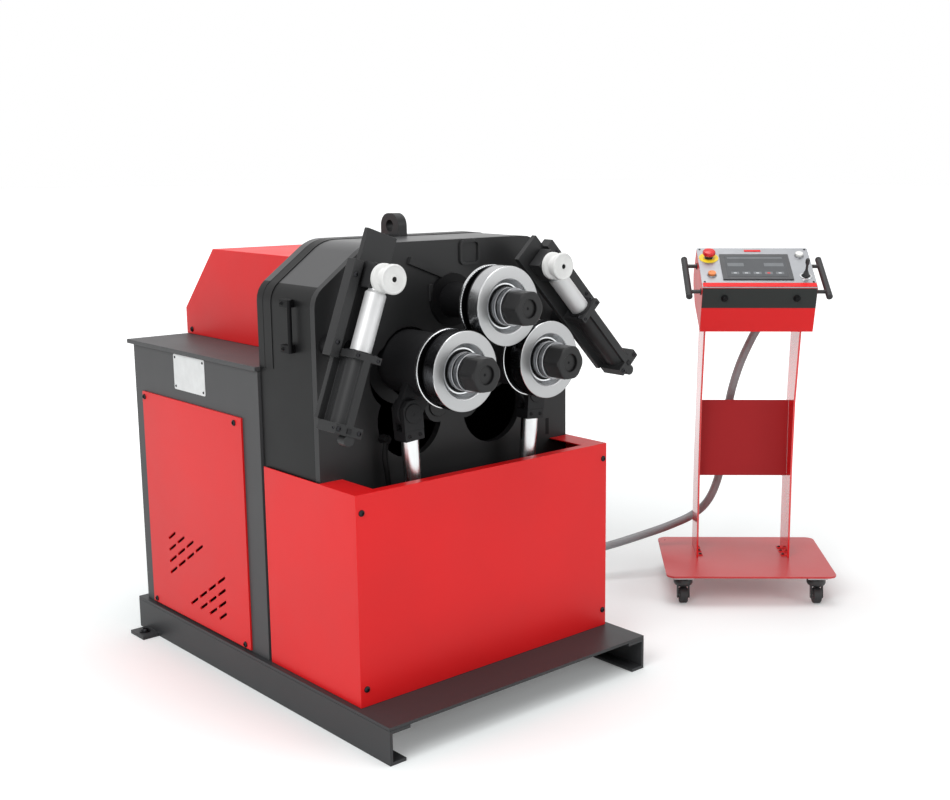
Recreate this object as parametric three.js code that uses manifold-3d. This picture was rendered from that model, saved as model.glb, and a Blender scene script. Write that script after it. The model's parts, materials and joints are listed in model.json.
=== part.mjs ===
// Floor-standing hydraulic three-roll bender for profiles and tubes, with its mobile control
// console. Millimetres, +Z up. X runs along the front from left to right, Y runs to the back.
// Machine pieces are written in the machine's own frame: X from its middle plane, Y from the front
// end of the base, Z from the floor. Console pieces are written in the console's frame.
import * as THREE from 'three';
import { mergeVertices } from 'three/addons/utils/BufferGeometryUtils.js';
import Module from 'manifold-3d';

// Base frame: two channel rails under one deck plate
const baseLength = 1264;
const baseWidth = 858;
const baseHeight = 94;
const deckThickness = 8;
const railThickness = 8;
const railFlangeWidth = 46;
const railTopFlangeWidth = 60;
const anchorTabWidth = 50;
const anchorTabLength = 80;
const anchorTabThickness = 10;
const anchorTabFromRear = 40;
const anchorHoleRadius = 9;

// Sheet metal covers
const sheet = 3;
const coverInset = 15;
const guardFront = 134;
const guardLength = 402;
const guardSideLip = 69;
const guardFrontLip = 27;
const guardBelowRolls = 268;
const cabinetFront = 548;
const cabinetLength = 684;
const cabinetHeight = 764;
const cabinetTopThickness = 12;
const cabinetTopOverhang = 9;
const cabinetRearOverhang = 24;
const ventPanelLength = 551;
const ventPanelHeight = 628;
const ventPanelFromRear = 50;
const ventPanelFromDeck = 5;
const ventPanelThickness = 5;
const slotLength = 50;
const slotWidth = 8;
const slotPitch = 62;
const slotRise = 34;
const slotAngle = 32;
const slotRows = 4;
const slotMargin = 102;
const slotForward = 6;
const slotGroupDrop = 45;
const hoodWidth = 464;
const hoodFront = 560;
const hoodBelowHead = 52;
const hoodRearHeight = 77;
const hoodSlopeLength = 176;

// Head: an upright octagonal housing behind a thick front plate
const headFront = 289;
const headPlateThickness = 20;
const headRear = 545;
const headWidth = 814;
const headAboveTopRoll = 152;
const headLeftChamferWidth = 155;
const headRightChamferWidth = 122;
const headChamferHeight = 116;
const headTopCorner = 100;
const headSideCorner = 60;
const headCornerSteps = 4;
const headWall = 8;
const headRimWidth = 2;
const headRimThickness = 28;
const rearHatchWidth = 300;
const rearHatchHeight = 380;
const ribLength = 140;
const ribWidth = 17;
const ribThickness = 9;
const ribTilt = 21;
const ribCentreX = -67;
const ribBelowTop = 71;
const eyeThickness = 28;
const eyeWidth = 78;
const eyeHoleRadius = 16;
const eyeHoleAboveTop = 26;
const eyeRimWidth = 33;
const eyeFromRear = 20;
const handleBarRadius = 6;
const handleReach = 14;
const handleLegWidth = 20;
const handleLegLength = 36;
const handleLength = 130;
const handleFromFront = 88;
const handleBelowTop = 194;

// Rolls, shafts and lock nuts
const topRollHeight = 1029;
const lowerRollDrop = 145;
const lowerRollHeight = topRollHeight - lowerRollDrop;
const guardHeight = lowerRollHeight - guardBelowRolls - baseHeight;
const lowerRollOffset = 136;
const rollFront = 65;
const rollRadius = 98;
const frontRingWidth = 43;
const grooveWidth = 20;
const backRingWidth = 9;
const grooveRadius = 73;
const rollEdge = 2;
const recessRadius = 67;
const recessFloorRadius = 56;
const recessDepth = 15;
const shaftRadius = 40;
const threadRadius = 30;
const nutAcrossFlats = 80;
const nutCornerRadius = 44;
const nutReach = 77;
const nutLength = 54;
const nutSocketRadius = 20;
const nutSocketDepth = 14;
const collarRadius = 47;
const collarGrooveRadius = 43;
const collarGrooveWidth = 7;
const bossRadius = 68;
const bossThickness = 10;
const sleeveRadius = 44;
const sleeveToRoll = 8;
const topShaftRear = 520;

// Swing arms of the lower rolls
const armPivotOffset = 45;
const armPivotDrop = 124;
const armPivotHeight = lowerRollHeight - armPivotDrop;
const armPivotPinRadius = 22;
const armPivotEyeRadius = 44;
const armHubRadius = 80;
const armThickness = 83;
const armBehindPlate = 3;
const hubToRoll = 5;
const motorRadius = 60;
const motorLength = 115;
const motorSocketDepth = 20;
const clevisPinOffset = 203;
const clevisPinRise = 14;
const clevisPinHeight = armPivotHeight + clevisPinRise;
const clevisPinRadius = 12;
const earThickness = 20;
const earRadius = 36;
const earRootRadius = 50;
const armSwingDown = 18;
const openingRadius = 100;
const openingDrop = 22;
const openingCentreHeight = armPivotHeight - openingDrop;
const openingClearance = 7;

// Lift cylinders
const cylinderPlane = 210;
const cylinderFootOffset = 158;
const cylinderFootHeight = 191;
const cylinderRadius = 35;
const cylinderCapRadius = 41;
const cylinderCapLength = 30;
const rodShowing = 211;
const cylinderTopFromFoot = clevisPinHeight - cylinderFootHeight - rodShowing;
const cylinderEyeRadius = 28;
const cylinderEyeThickness = 40;
const cylinderFloorThickness = 24;
const footPinRadius = 12;
const footEarThickness = 12;
const footEarWidth = 60;
const rodRadius = 22;
const rodLowerEndFromFoot = 130;
const clevisWidth = 58;
const clevisDepth = 48;
const clevisAbovePin = 32;
const clevisBelowPin = 68;
const clevisSlotBelowPin = 42;
const clevisChamfer = 16;
const clevisPinClearance = 7;

// Lateral guides: a swivelling bracket, a chromed rod and a white spool roller
const guidePivotOffset = 373;
const guidePivotRise = 64;
const guidePivotHeight = lowerRollHeight + guidePivotRise;
const leftGuideTilt = 20;
const rightGuideTilt = -43.5;
const leftGuideReach = 174;
const rightGuideReach = 225;
const guideRodPlane = 155;
const guideRodRadius = 25;
const guideBodyFront = 118;
const guidePlateFront = 190;
const guidePlateThickness = 15;
const guidePlateHalfWidth = 43;
const leftGuidePlateTop = 106;
const rightGuidePlateTop = 64;
const guideWebHalfWidth = 10;
const guideHousingRadius = 29;
const guideRootHalfWidth = 24;
const guideFlangeHalfWidth = 38;
const upperFlangeThickness = 17;
const lowerFlangeThickness = 24;
const leftFlangeToRoller = 179;
const rightFlangeToRoller = 163;
const leftGuideBodyLength = 151;
const rightGuideBodyLength = 191;
const guideBoreFloor = 10;
const guideRodInBody = 95;
const guideRailWidth = 23;
const guideRailDepth = 32;
const guideRailAboveRoller = 26;
const guideRailLength = 229;
const guideLugRadius = 14;
const guideLugLength = 28;
const guideLugInward = 9;
const guideLugDrop = 9;
const guidePivotPinRadius = 22;
const guidePivotBossRadius = 26;
const guideBlockHalfWidth = 30;
const guideBlockHeight = 60;
const guideBlockFront = 147;
const guideBlockDepth = 40;
const guideAxleRadius = 6;
const spoolFront = 99;
const spoolLength = 47;
const spoolRadius = 35;
const spoolWaistRadius = 27;
const spoolFlangeWidth = 12;

// Hydraulic unit inside the cabinet
const tankWidth = 520;
const tankHeight = 300;
const tankFront = 700;
const tankFromRear = 112;
const tankWall = 8;
const tankFillerRadius = 30;
const pumpMotorRadius = 100;
const pumpMotorLength = 300;
const pumpMotorFootHeight = 12;
const pumpMotorFootWidth = 150;
const pumpMotorOffset = -110;
const valveBlockWidth = 150;
const valveBlockLength = 170;
const valveBlockHeight = 110;
const valveBlockOffset = 140;

// Console: base plate on four casters, two side plates, shelf and sloping control box
const consoleX = 1183;
const consoleY = 254;
const consoleYaw = -43.9;
const consoleBaseWidth = 533;
const consoleBaseDepth = 433;
const consoleBaseTop = 100;
const consoleBaseThickness = 6;
const consoleBaseCorner = 30;
const columnSpacing = 297;
const columnMiddle = -4;
const columnThickness = 6;
const columnFootFront = -20;
const columnDepth = 150;
const columnKneeHeight = 400;
const columnBendHeight = 620;
const columnTopFront = -106;
const columnTopDepth = 146;
const columnBendFront = -38;
const columnBendDepth = 132;
const shelfHeight = 252;
const shelfBottom = 360;
const shelfDepthPlace = 50;
const shelfThickness = 3;
const boxWidth = 346;
const boxSheet = 2.5;
const boxFrontTopHeight = 1001;
const boxFrontHeight = 140;
const boxFrontLowHeight = boxFrontTopHeight - boxFrontHeight;
const boxFrontLow = -148;
const boxFrontTop = -207;
const boxPanelRise = 102;
const boxRearTopHeight = boxFrontTopHeight + boxPanelRise;
const boxRearTop = 3;
const boxBack = 79;
const boxRearDrop = 82;
const boxBackHeight = boxRearTopHeight - boxRearDrop;
const boxBackEdge = 36;
const boxBackLowHeight = boxBackHeight - boxBackEdge;
const boxHip = 24;
const boxUndersideRise = 66;
const boxHipHeight = boxFrontLowHeight + boxUndersideRise;
const panelThickness = 3;
const screenWidth = 214;
const screenHeight = 149;
const screenProud = 4;
const screenDepth = 30;
const screenLow = 41;
const stopPlaceAcross = -140;
const stopPlaceUp = 172;
const stopCapRadius = 20;
const stopCapLength = 15;
const stopNeckRadius = 13;
const stopNeckLength = 8;
const stopStemRadius = 11;
const buttonStemLength = 20;
const startPlaceAcross = -139;
const startPlaceUp = 70;
const lampPlaceAcross = 142;
const lampPlaceUp = 186;
const buttonRadius = 12.5;
const buttonHeight = 5;
const buttonStemRadius = 11;
const buttonTravel = 3;
const stopTravel = 5;
const joystickPlaceAcross = 145;
const joystickPlaceUp = 62;
const joystickBallRadius = 13;
const joystickLeverRadius = 4;
const joystickLeverLength = 52;
const joystickKnobRadius = 7;
const gripOffset = 211;
const gripRadius = 10;
const gripLength = 228;
const gripDrop = 30;
const gripArmRadius = 6;
const gripArmLowShare = 0.14;
const gripArmHighShare = 0.8;
const gripLowUp = -4;

// Casters
const casterInsetSide = 56;
const casterInsetFront = 60;
const casterBlockSize = 62;
const casterBlockHeight = 14;
const casterHeadRadius = 29;
const casterHeadHeight = 7;
const casterForkThickness = 6;
const casterTrail = 13;
const wheelRadius = 25;
const wheelWidth = 27;
const wheelEdge = 4;
const wheelAxleRadius = 5;

// Conduit between the machine and the console, and its two glands
const conduitDiameter = 27;
const conduitSteps = 36;
const conduitSides = 10;
const glandLength = 38;
const glandRadius = 22;
const glandFlangeRadius = 30;
const glandFlangeThickness = 8;
const machineGlandY = 700;
const machineGlandZ = 150;
const consoleGlandAcross = 30;
const consoleGlandDepth = -5;
const consoleGlandLength = 42;

// Fits
const gap = 0.3;
const runningGap = 0.6;
const overrun = 2;

// Steps round a circle
const coarse = 12;
const medium = 16;
const fine = 30;

const halfTurn = Math.PI;
const degree = Math.PI / 180;

// The solid modeller joins and cuts closed meshes.
const wasm = await Module();
wasm.setup();

function solid(geometry) {
  const bare = geometry.clone();
  bare.deleteAttribute('normal');
  bare.deleteAttribute('uv');
  const merged = mergeVertices(bare);
  return new wasm.Manifold(new wasm.Mesh({
    numProp: 3,
    vertProperties: new Float32Array(merged.attributes.position.array),
    triVerts: new Uint32Array(merged.index.array),
  }));
}

function joined(first, ...others) {
  return others.reduce((sum, other) => sum.add(other), first);
}

function cutFrom(body, ...tools) {
  return tools.reduce((rest, tool) => rest.subtract(tool), body);
}

function geometryOf(body) {
  const result = body.getMesh();
  const geometry = new THREE.BufferGeometry();
  geometry.setAttribute('position', new THREE.BufferAttribute(new Float32Array(result.vertProperties), 3));
  geometry.setIndex(new THREE.BufferAttribute(new Uint32Array(result.triVerts), 1));
  geometry.computeVertexNormals();
  return geometry;
}

// Primitive bodies. Ranges are [low, high] pairs.
function block([x0, x1], [y0, y1], [z0, z1]) {
  const geometry = new THREE.BoxGeometry(x1 - x0, y1 - y0, z1 - z0);
  geometry.translate((x0 + x1) / 2, (y0 + y1) / 2, (z0 + z1) / 2);
  return solid(geometry);
}

function shapeOf(points) {
  return new THREE.Shape(points.map(([a, b]) => new THREE.Vector2(a, b)));
}

function extruded(shape, length, curveSegments = coarse) {
  return new THREE.ExtrudeGeometry(shape, { depth: length, bevelEnabled: false, curveSegments });
}

// An outline in X and Z, drawn out along Y
function alongY(shape, [y0, y1], curveSegments) {
  const geometry = extruded(shape, y1 - y0, curveSegments);
  geometry.rotateX(halfTurn / 2);
  geometry.translate(0, y1, 0);
  return solid(geometry);
}

// An outline in Y and Z, drawn out along X
function alongX(shape, [x0, x1], curveSegments) {
  const geometry = extruded(shape, x1 - x0, curveSegments);
  const toYZ = new THREE.Matrix4();
  toYZ.makeBasis(new THREE.Vector3(0, 1, 0), new THREE.Vector3(0, 0, 1), new THREE.Vector3(1, 0, 0));
  geometry.applyMatrix4(toYZ);
  geometry.translate(x0, 0, 0);
  return solid(geometry);
}

// An outline in X and Y, drawn out along Z
function alongZ(shape, [z0, z1], curveSegments) {
  const geometry = extruded(shape, z1 - z0, curveSegments);
  geometry.translate(0, 0, z0);
  return solid(geometry);
}

function rodAlongY(radius, x, z, [y0, y1], sides = medium) {
  const geometry = new THREE.CylinderGeometry(radius, radius, y1 - y0, sides);
  geometry.translate(x, (y0 + y1) / 2, z);
  return solid(geometry);
}

function rodAlongX(radius, y, z, [x0, x1], sides = medium) {
  const geometry = new THREE.CylinderGeometry(radius, radius, x1 - x0, sides);
  geometry.rotateZ(-halfTurn / 2);
  geometry.translate((x0 + x1) / 2, y, z);
  return solid(geometry);
}

function rodAlongZ(radius, x, y, [z0, z1], sides = medium) {
  const geometry = new THREE.CylinderGeometry(radius, radius, z1 - z0, sides);
  geometry.rotateX(halfTurn / 2);
  geometry.translate(x, y, (z0 + z1) / 2);
  return solid(geometry);
}

// A turned body round an axis along Y. The profile lists [y, radius] and closes on itself.
function turned(profile, x, z, sides = fine) {
  const points = [...profile, profile[0]].map(([y, radius]) => new THREE.Vector2(radius, y));
  const geometry = new THREE.LatheGeometry(points, sides);
  geometry.translate(x, 0, z);
  const body = solid(geometry);
  return body.volume() < 0 ? solid(flipped(geometry)) : body;
}

function flipped(geometry) {
  const turnedOver = geometry.clone();
  const index = turnedOver.index;
  for (let i = 0; i < index.count; i += 3) {
    const first = index.getX(i);
    index.setX(i, index.getX(i + 1));
    index.setX(i + 1, first);
  }
  return turnedOver;
}

function circlePath(x, y, radius) {
  const path = new THREE.Path();
  path.absarc(x, y, radius, 0, 2 * halfTurn, true);
  return path;
}

// Outline of a flat link: two round ends and the straight sides that touch both
function linkShape(ax, az, ra, bx, bz, rb) {
  const span = Math.hypot(bx - ax, bz - az);
  const heading = Math.atan2(bz - az, bx - ax);
  const spread = Math.acos((ra - rb) / span);
  const shape = new THREE.Shape();
  shape.absarc(ax, az, ra, heading + spread, heading - spread + 2 * halfTurn, false);
  shape.absarc(bx, bz, rb, heading - spread, heading + spread, false);
  shape.closePath();
  return shape;
}

// A rectangle with equal round corners
function roundedRectangle([x0, x1], [y0, y1], radius) {
  const shape = new THREE.Shape();
  shape.absarc(x1 - radius, y0 + radius, radius, -halfTurn / 2, 0, false);
  shape.absarc(x1 - radius, y1 - radius, radius, 0, halfTurn / 2, false);
  shape.absarc(x0 + radius, y1 - radius, radius, halfTurn / 2, halfTurn, false);
  shape.absarc(x0 + radius, y0 + radius, radius, halfTurn, 1.5 * halfTurn, false);
  shape.closePath();
  return shape;
}

// Finishes
const finishes = {
  red: { color: 0xcf1f22, roughness: 0.45, metalness: 0.1 },
  darkRed: { color: 0x97272a, roughness: 0.55, metalness: 0.1 },
  darkGrey: { color: 0x3c3c3d, roughness: 0.6, metalness: 0.2 },
  black: { color: 0x26272a, roughness: 0.5, metalness: 0.3 },
  steel: { color: 0x9a9c9f, roughness: 0.35, metalness: 0.9 },
  chrome: { color: 0xc9cbcd, roughness: 0.12, metalness: 1 },
  white: { color: 0xf0f0ee, roughness: 0.4, metalness: 0 },
  fascia: { color: 0xa6a7aa, roughness: 0.4, metalness: 0.7 },
  glass: { color: 0x2d3032, roughness: 0.15, metalness: 0 },
  stopRed: { color: 0xc8141b, roughness: 0.35, metalness: 0 },
  orange: { color: 0xd8843a, roughness: 0.4, metalness: 0 },
  rubber: { color: 0x1b1b1c, roughness: 0.8, metalness: 0 },
  conduitGrey: { color: 0x7d8084, roughness: 0.6, metalness: 0 },
};

function piece(name, body, finish) {
  const material = new THREE.MeshStandardMaterial(finishes[finish]);
  material.name = finish;
  const mesh = new THREE.Mesh(geometryOf(body), material);
  mesh.name = name;
  return mesh;
}

const machine = new THREE.Group();
const halfBase = baseWidth / 2;
const coverHalf = halfBase - coverInset;
const deckTop = baseHeight;
const coverBottom = deckTop + gap;
const headHalf = headWidth / 2;
const headTop = topRollHeight + headAboveTopRoll;
const plateRear = headFront + headPlateThickness;
const sides = { left: -1, right: 1 };

// Base: a C-shaped rail with its anchor tab, mirrored by side
function baseRail(side) {
  const outer = halfBase;
  const top = baseHeight - deckThickness - gap;
  const profile = [
    [outer - railFlangeWidth, 0],
    [outer, 0],
    [outer, top],
    [outer - railTopFlangeWidth, top],
    [outer - railTopFlangeWidth, top - railThickness],
    [outer - railThickness, top - railThickness],
    [outer - railThickness, railThickness],
    [outer - railFlangeWidth, railThickness],
  ].map(([x, z]) => [x * side, z]);
  const rail = alongY(shapeOf(profile), [0, baseLength]);
  const tabX = [outer - railThickness, outer + anchorTabWidth].map((x) => x * side).sort((a, b) => a - b);
  const tabRear = baseLength - anchorTabFromRear;
  const tab = block(tabX, [tabRear - anchorTabLength, tabRear], [0, anchorTabThickness]);
  const holeX = side * (outer + anchorTabWidth / 2);
  const holeY = tabRear - anchorTabLength / 2;
  const hole = rodAlongZ(anchorHoleRadius, holeX, holeY, [-overrun, anchorTabThickness + overrun], coarse);
  return cutFrom(joined(rail, tab), hole);
}

// Deck plate with the two foot brackets that carry the lift cylinders
function baseDeck() {
  const deck = block([-halfBase, halfBase], [0, baseLength], [deckTop - deckThickness, deckTop]);
  const brackets = Object.values(sides).map((side) => {
    const x = side * cylinderFootOffset;
    const xRange = [x - footEarWidth / 2, x + footEarWidth / 2];
    const zRange = [deckTop - deckThickness / 2, cylinderFootHeight + 2 * footPinRadius];
    const inside = cylinderEyeThickness / 2 + runningGap;
    const front = block(xRange, [cylinderPlane - inside - footEarThickness, cylinderPlane - inside], zRange);
    const back = block(xRange, [cylinderPlane + inside, cylinderPlane + inside + footEarThickness], zRange);
    const pinEnd = inside + footEarThickness;
    const pinRange = [cylinderPlane - pinEnd, cylinderPlane + pinEnd];
    return joined(front, back, rodAlongY(footPinRadius, x, cylinderFootHeight, pinRange, coarse));
  });
  return joined(deck, ...brackets);
}

machine.add(piece('left_base_rail', baseRail(sides.left), 'darkGrey'));
machine.add(piece('right_base_rail', baseRail(sides.right), 'darkGrey'));
machine.add(piece('base_deck', baseDeck(), 'darkGrey'));

// Red guard round the foot of the head, open above, with inward lips along its top edge
function frontGuard() {
  const top = coverBottom + guardHeight;
  const rear = guardFront + guardLength;
  const zWall = [coverBottom, top];
  const front = block([-coverHalf, coverHalf], [guardFront, guardFront + sheet], zWall);
  const left = block([-coverHalf, -coverHalf + sheet], [guardFront, rear], zWall);
  const right = block([coverHalf - sheet, coverHalf], [guardFront, rear], zWall);
  const zLip = [top - sheet, top];
  const lipRear = headFront - gap;
  const frontLip = block([-coverHalf, coverHalf], [guardFront, guardFront + guardFrontLip], zLip);
  const leftLip = block([-coverHalf, -coverHalf + guardSideLip], [guardFront, lipRear], zLip);
  const rightLip = block([coverHalf - guardSideLip, coverHalf], [guardFront, lipRear], zLip);
  return joined(front, left, right, frontLip, leftLip, rightLip);
}

machine.add(piece('front_guard', frontGuard(), 'red'));

// Cabinet: a sheet shell, open below and towards the head, with a window behind the vent panel
const cabinetRear = cabinetFront + cabinetLength;
const cabinetTop = coverBottom + cabinetHeight;
const ventRear = cabinetRear - ventPanelFromRear;
const ventFront = ventRear - ventPanelLength;
const ventLow = coverBottom + ventPanelFromDeck;
const ventHigh = ventLow + ventPanelHeight;
const windowMargin = ventPanelFromRear / 2;

function cabinetShell() {
  const outside = block([-coverHalf, coverHalf], [cabinetFront, cabinetRear], [coverBottom, cabinetTop]);
  const insideX = [-coverHalf + sheet, coverHalf - sheet];
  const insideY = [cabinetFront + sheet, cabinetRear - sheet];
  const inside = block(insideX, insideY, [coverBottom - overrun, cabinetTop - sheet]);
  const windowY = [ventFront + windowMargin, ventRear - windowMargin];
  const windowZ = [ventLow + windowMargin, ventHigh - windowMargin];
  const window = block([-coverHalf - overrun, -coverHalf + sheet + overrun], windowY, windowZ);
  const hatchX = [-rearHatchWidth / 2, rearHatchWidth / 2];
  const hatchZ = [cabinetTop - rearHatchHeight - sheet, cabinetTop - 2 * sheet];
  const hatch = block(hatchX, [cabinetFront - overrun, cabinetFront + sheet + overrun], hatchZ);
  return cutFrom(outside, inside, window, hatch);
}

function cabinetTopPlate() {
  const half = coverHalf + cabinetTopOverhang;
  const zRange = [cabinetTop + gap, cabinetTop + gap + cabinetTopThickness];
  return block([-half, half], [headRear + gap, cabinetRear + cabinetRearOverhang], zRange);
}

// Two groups of slanted slots: short rows grow towards the middle from opposite corners
function ventSlotCentres() {
  const centres = [];
  const along = [-Math.cos(slotAngle * degree), Math.sin(slotAngle * degree)];
  const upperStart = [ventRear - slotMargin - slotForward, ventLow + ventPanelHeight / 3];
  const lowerEnd = [ventFront + slotMargin + slotPitch / 3 - slotForward, ventLow + slotMargin / 2];
  for (let row = 0; row < slotRows; row += 1) {
    for (let dash = 0; dash <= row; dash += 1) {
      const reach = (dash + 0.5) * slotPitch;
      centres.push([
        upperStart[0] + along[0] * reach,
        upperStart[1] - row * slotRise + along[1] * reach,
      ]);
      const back = (row - dash + 0.5) * slotPitch;
      const endHeight = lowerEnd[1] + slotGroupDrop / 2 + row * slotRise;
      centres.push([lowerEnd[0] - along[0] * back, endHeight - along[1] * back]);
    }
  }
  return centres;
}

function ventPanel() {
  const outline = shapeOf([
    [ventFront, ventLow],
    [ventRear, ventLow],
    [ventRear, ventHigh],
    [ventFront, ventHigh],
  ]);
  const half = slotLength / 2 - slotWidth / 2;
  const dy = Math.cos(slotAngle * degree) * half;
  const dz = Math.sin(slotAngle * degree) * half;
  for (const [y, z] of ventSlotCentres()) {
    const slot = new THREE.Path();
    const lean = Math.atan2(dz, -dy);
    slot.absarc(y - dy, z + dz, slotWidth / 2, lean - halfTurn / 2, lean + halfTurn / 2, false);
    slot.absarc(y + dy, z - dz, slotWidth / 2, lean + halfTurn / 2, lean + 1.5 * halfTurn, false);
    slot.closePath();
    outline.holes.push(slot);
  }
  const slotEndSteps = 3;
  return alongX(outline, [-coverHalf - gap - ventPanelThickness, -coverHalf - gap], slotEndSteps);
}

machine.add(piece('cabinet_shell', cabinetShell(), 'darkGrey'));
machine.add(piece('cabinet_top', cabinetTopPlate(), 'darkGrey'));
machine.add(piece('vent_panel', ventPanel(), 'red'));

// Red hood over the drive, sloping down at the rear and open below
function driveHood() {
  const low = cabinetTop + cabinetTopThickness + 2 * gap;
  const high = headTop - hoodBelowHead;
  const rear = cabinetRear + cabinetRearOverhang - gap;
  const outline = (inset) => shapeOf([
    [hoodFront + inset, low - (inset ? overrun : 0)],
    [rear - inset, low - (inset ? overrun : 0)],
    [rear - inset, low + hoodRearHeight - inset / 2],
    [rear - hoodSlopeLength - inset / 2, high - inset],
    [hoodFront + inset, high - inset],
  ]);
  const half = hoodWidth / 2;
  const outside = alongX(outline(0), [-half, half]);
  return cutFrom(outside, alongX(outline(sheet), [-half + sheet, half - sheet]));
}

machine.add(piece('drive_hood', driveHood(), 'red'));

// Hydraulic unit: tank, motor with pump, and valve block on top of the tank
const tankTop = coverBottom + tankHeight;
const tankLength = cabinetRear - tankFromRear - tankFront;

function hydraulicTank() {
  const tankX = [-tankWidth / 2, tankWidth / 2];
  const tankY = [tankFront, tankFront + tankLength];
  const outside = block(tankX, tankY, [coverBottom, tankTop]);
  const insideX = [tankX[0] + tankWall, tankX[1] - tankWall];
  const insideY = [tankY[0] + tankWall, tankY[1] - tankWall];
  const inside = block(insideX, insideY, [coverBottom + tankWall, tankTop - tankWall]);
  const fillerX = tankX[1] - 2 * tankFillerRadius;
  const fillerY = tankY[1] - 2 * tankFillerRadius;
  const filler = rodAlongZ(tankFillerRadius, fillerX, fillerY, [tankTop - 2 * tankWall, tankTop + overrun], coarse);
  return cutFrom(outside, inside, filler);
}

function pumpMotor() {
  const low = tankTop + gap;
  const centre = low + pumpMotorFootHeight + pumpMotorRadius;
  const front = tankFront + (tankLength - pumpMotorLength) / 2;
  const rear = front + pumpMotorLength;
  const barrel = rodAlongY(pumpMotorRadius, pumpMotorOffset, centre, [front, rear - pumpMotorLength / 4]);
  const pumpRadius = pumpMotorRadius / 2;
  const pump = rodAlongY(pumpRadius, pumpMotorOffset, centre, [rear - pumpMotorLength / 3, rear]);
  const footX = [pumpMotorOffset - pumpMotorFootWidth / 2, pumpMotorOffset + pumpMotorFootWidth / 2];
  const foot = block(footX, [front, rear - pumpMotorLength / 4], [low, centre - pumpRadius]);
  return joined(barrel, pump, foot);
}

function valveBlock() {
  const low = tankTop + gap;
  const front = tankFront + (tankLength - valveBlockLength) / 2;
  const xRange = [valveBlockOffset - valveBlockWidth / 2, valveBlockOffset + valveBlockWidth / 2];
  const body = block(xRange, [front, front + valveBlockLength], [low, low + valveBlockHeight]);
  const coils = [-1, 0, 1].map((place) => {
    const y = front + valveBlockLength / 2 + (place * valveBlockLength) / 3;
    const coilRadius = valveBlockLength / 9;
    const coilTop = low + valveBlockHeight + 2 * coilRadius;
    return rodAlongZ(coilRadius, valveBlockOffset, y, [low + valveBlockHeight / 2, coilTop], coarse);
  });
  return joined(body, ...coils);
}

machine.add(piece('hydraulic_tank', hydraulicTank(), 'steel'));
machine.add(piece('pump_motor', pumpMotor(), 'darkGrey'));
machine.add(piece('valve_block', valveBlock(), 'steel'));

// Points of the arc that rounds a corner between two straight edges, with the given radius
function roundedCorner(before, corner, after, radius) {
  const [from, at, to] = [before, corner, after].map(([x, z]) => new THREE.Vector2(x, z));
  const back = from.sub(at).normalize();
  const ahead = to.sub(at).normalize();
  const half = Math.acos(back.dot(ahead)) / 2;
  const centre = back.clone().add(ahead).normalize().multiplyScalar(radius / Math.sin(half)).add(at);
  const start = back.multiplyScalar(radius / Math.tan(half)).add(at);
  const end = ahead.multiplyScalar(radius / Math.tan(half)).add(at);
  const points = [];
  for (let step = 0; step <= headCornerSteps; step += 1) {
    const along = start.clone().lerp(end, step / headCornerSteps);
    const spoke = along.sub(centre).setLength(radius);
    points.push([centre.x + spoke.x, centre.y + spoke.y]);
  }
  return points;
}

// Outline of the head: an upright rectangle with chamfered and rounded upper corners, grown by a
// margin
function headOutline(margin, low) {
  const half = headHalf + margin;
  const top = headTop + margin;
  const flank = (chamferWidth) => {
    const foot = [half, low];
    const shoulder = [half, top - headChamferHeight];
    const crown = [half - chamferWidth, top];
    return [
      foot,
      ...roundedCorner(foot, shoulder, crown, headSideCorner),
      ...roundedCorner(shoulder, crown, [0, top], headTopCorner),
    ];
  };
  const left = flank(headLeftChamferWidth).map(([x, z]) => [-x, z]);
  return [...flank(headRightChamferWidth), ...left.reverse()];
}

function headShell() {
  const front = plateRear + gap;
  const outside = alongY(shapeOf(headOutline(0, coverBottom)), [front, headRear]);
  const insideShape = shapeOf(headOutline(-headWall, coverBottom - overrun));
  const inside = alongY(insideShape, [front - overrun, headRear - headWall]);
  const rimY = [headRear - headRimThickness, headRear];
  const rimFoot = cabinetTop + cabinetTopThickness + 2 * gap;
  const belowRim = block([-headWidth, headWidth], [rimY[0] - overrun, rimY[1] + overrun], [0, rimFoot]);
  const rim = cutFrom(alongY(shapeOf(headOutline(headRimWidth, coverBottom)), rimY), belowRim);
  const hatchX = [-rearHatchWidth / 2, rearHatchWidth / 2];
  const hatchZ = [cabinetTop - rearHatchHeight, topRollHeight + shaftRadius + rearHatchHeight / 9];
  const hatch = block(hatchX, [headRear - headWall - overrun, headRear + overrun], hatchZ);
  return cutFrom(joined(outside, rim), inside, hatch);
}

// Where the hub of a swing arm stands when the arm is all the way down
function loweredHub(side) {
  const turn = armSwingDown * degree;
  const dx = lowerRollOffset - armPivotOffset;
  const dz = lowerRollHeight - armPivotHeight;
  const x = armPivotOffset + dx * Math.cos(turn) + dz * Math.sin(turn);
  return [side * x, armPivotHeight - dx * Math.sin(turn) + dz * Math.cos(turn)];
}

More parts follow.
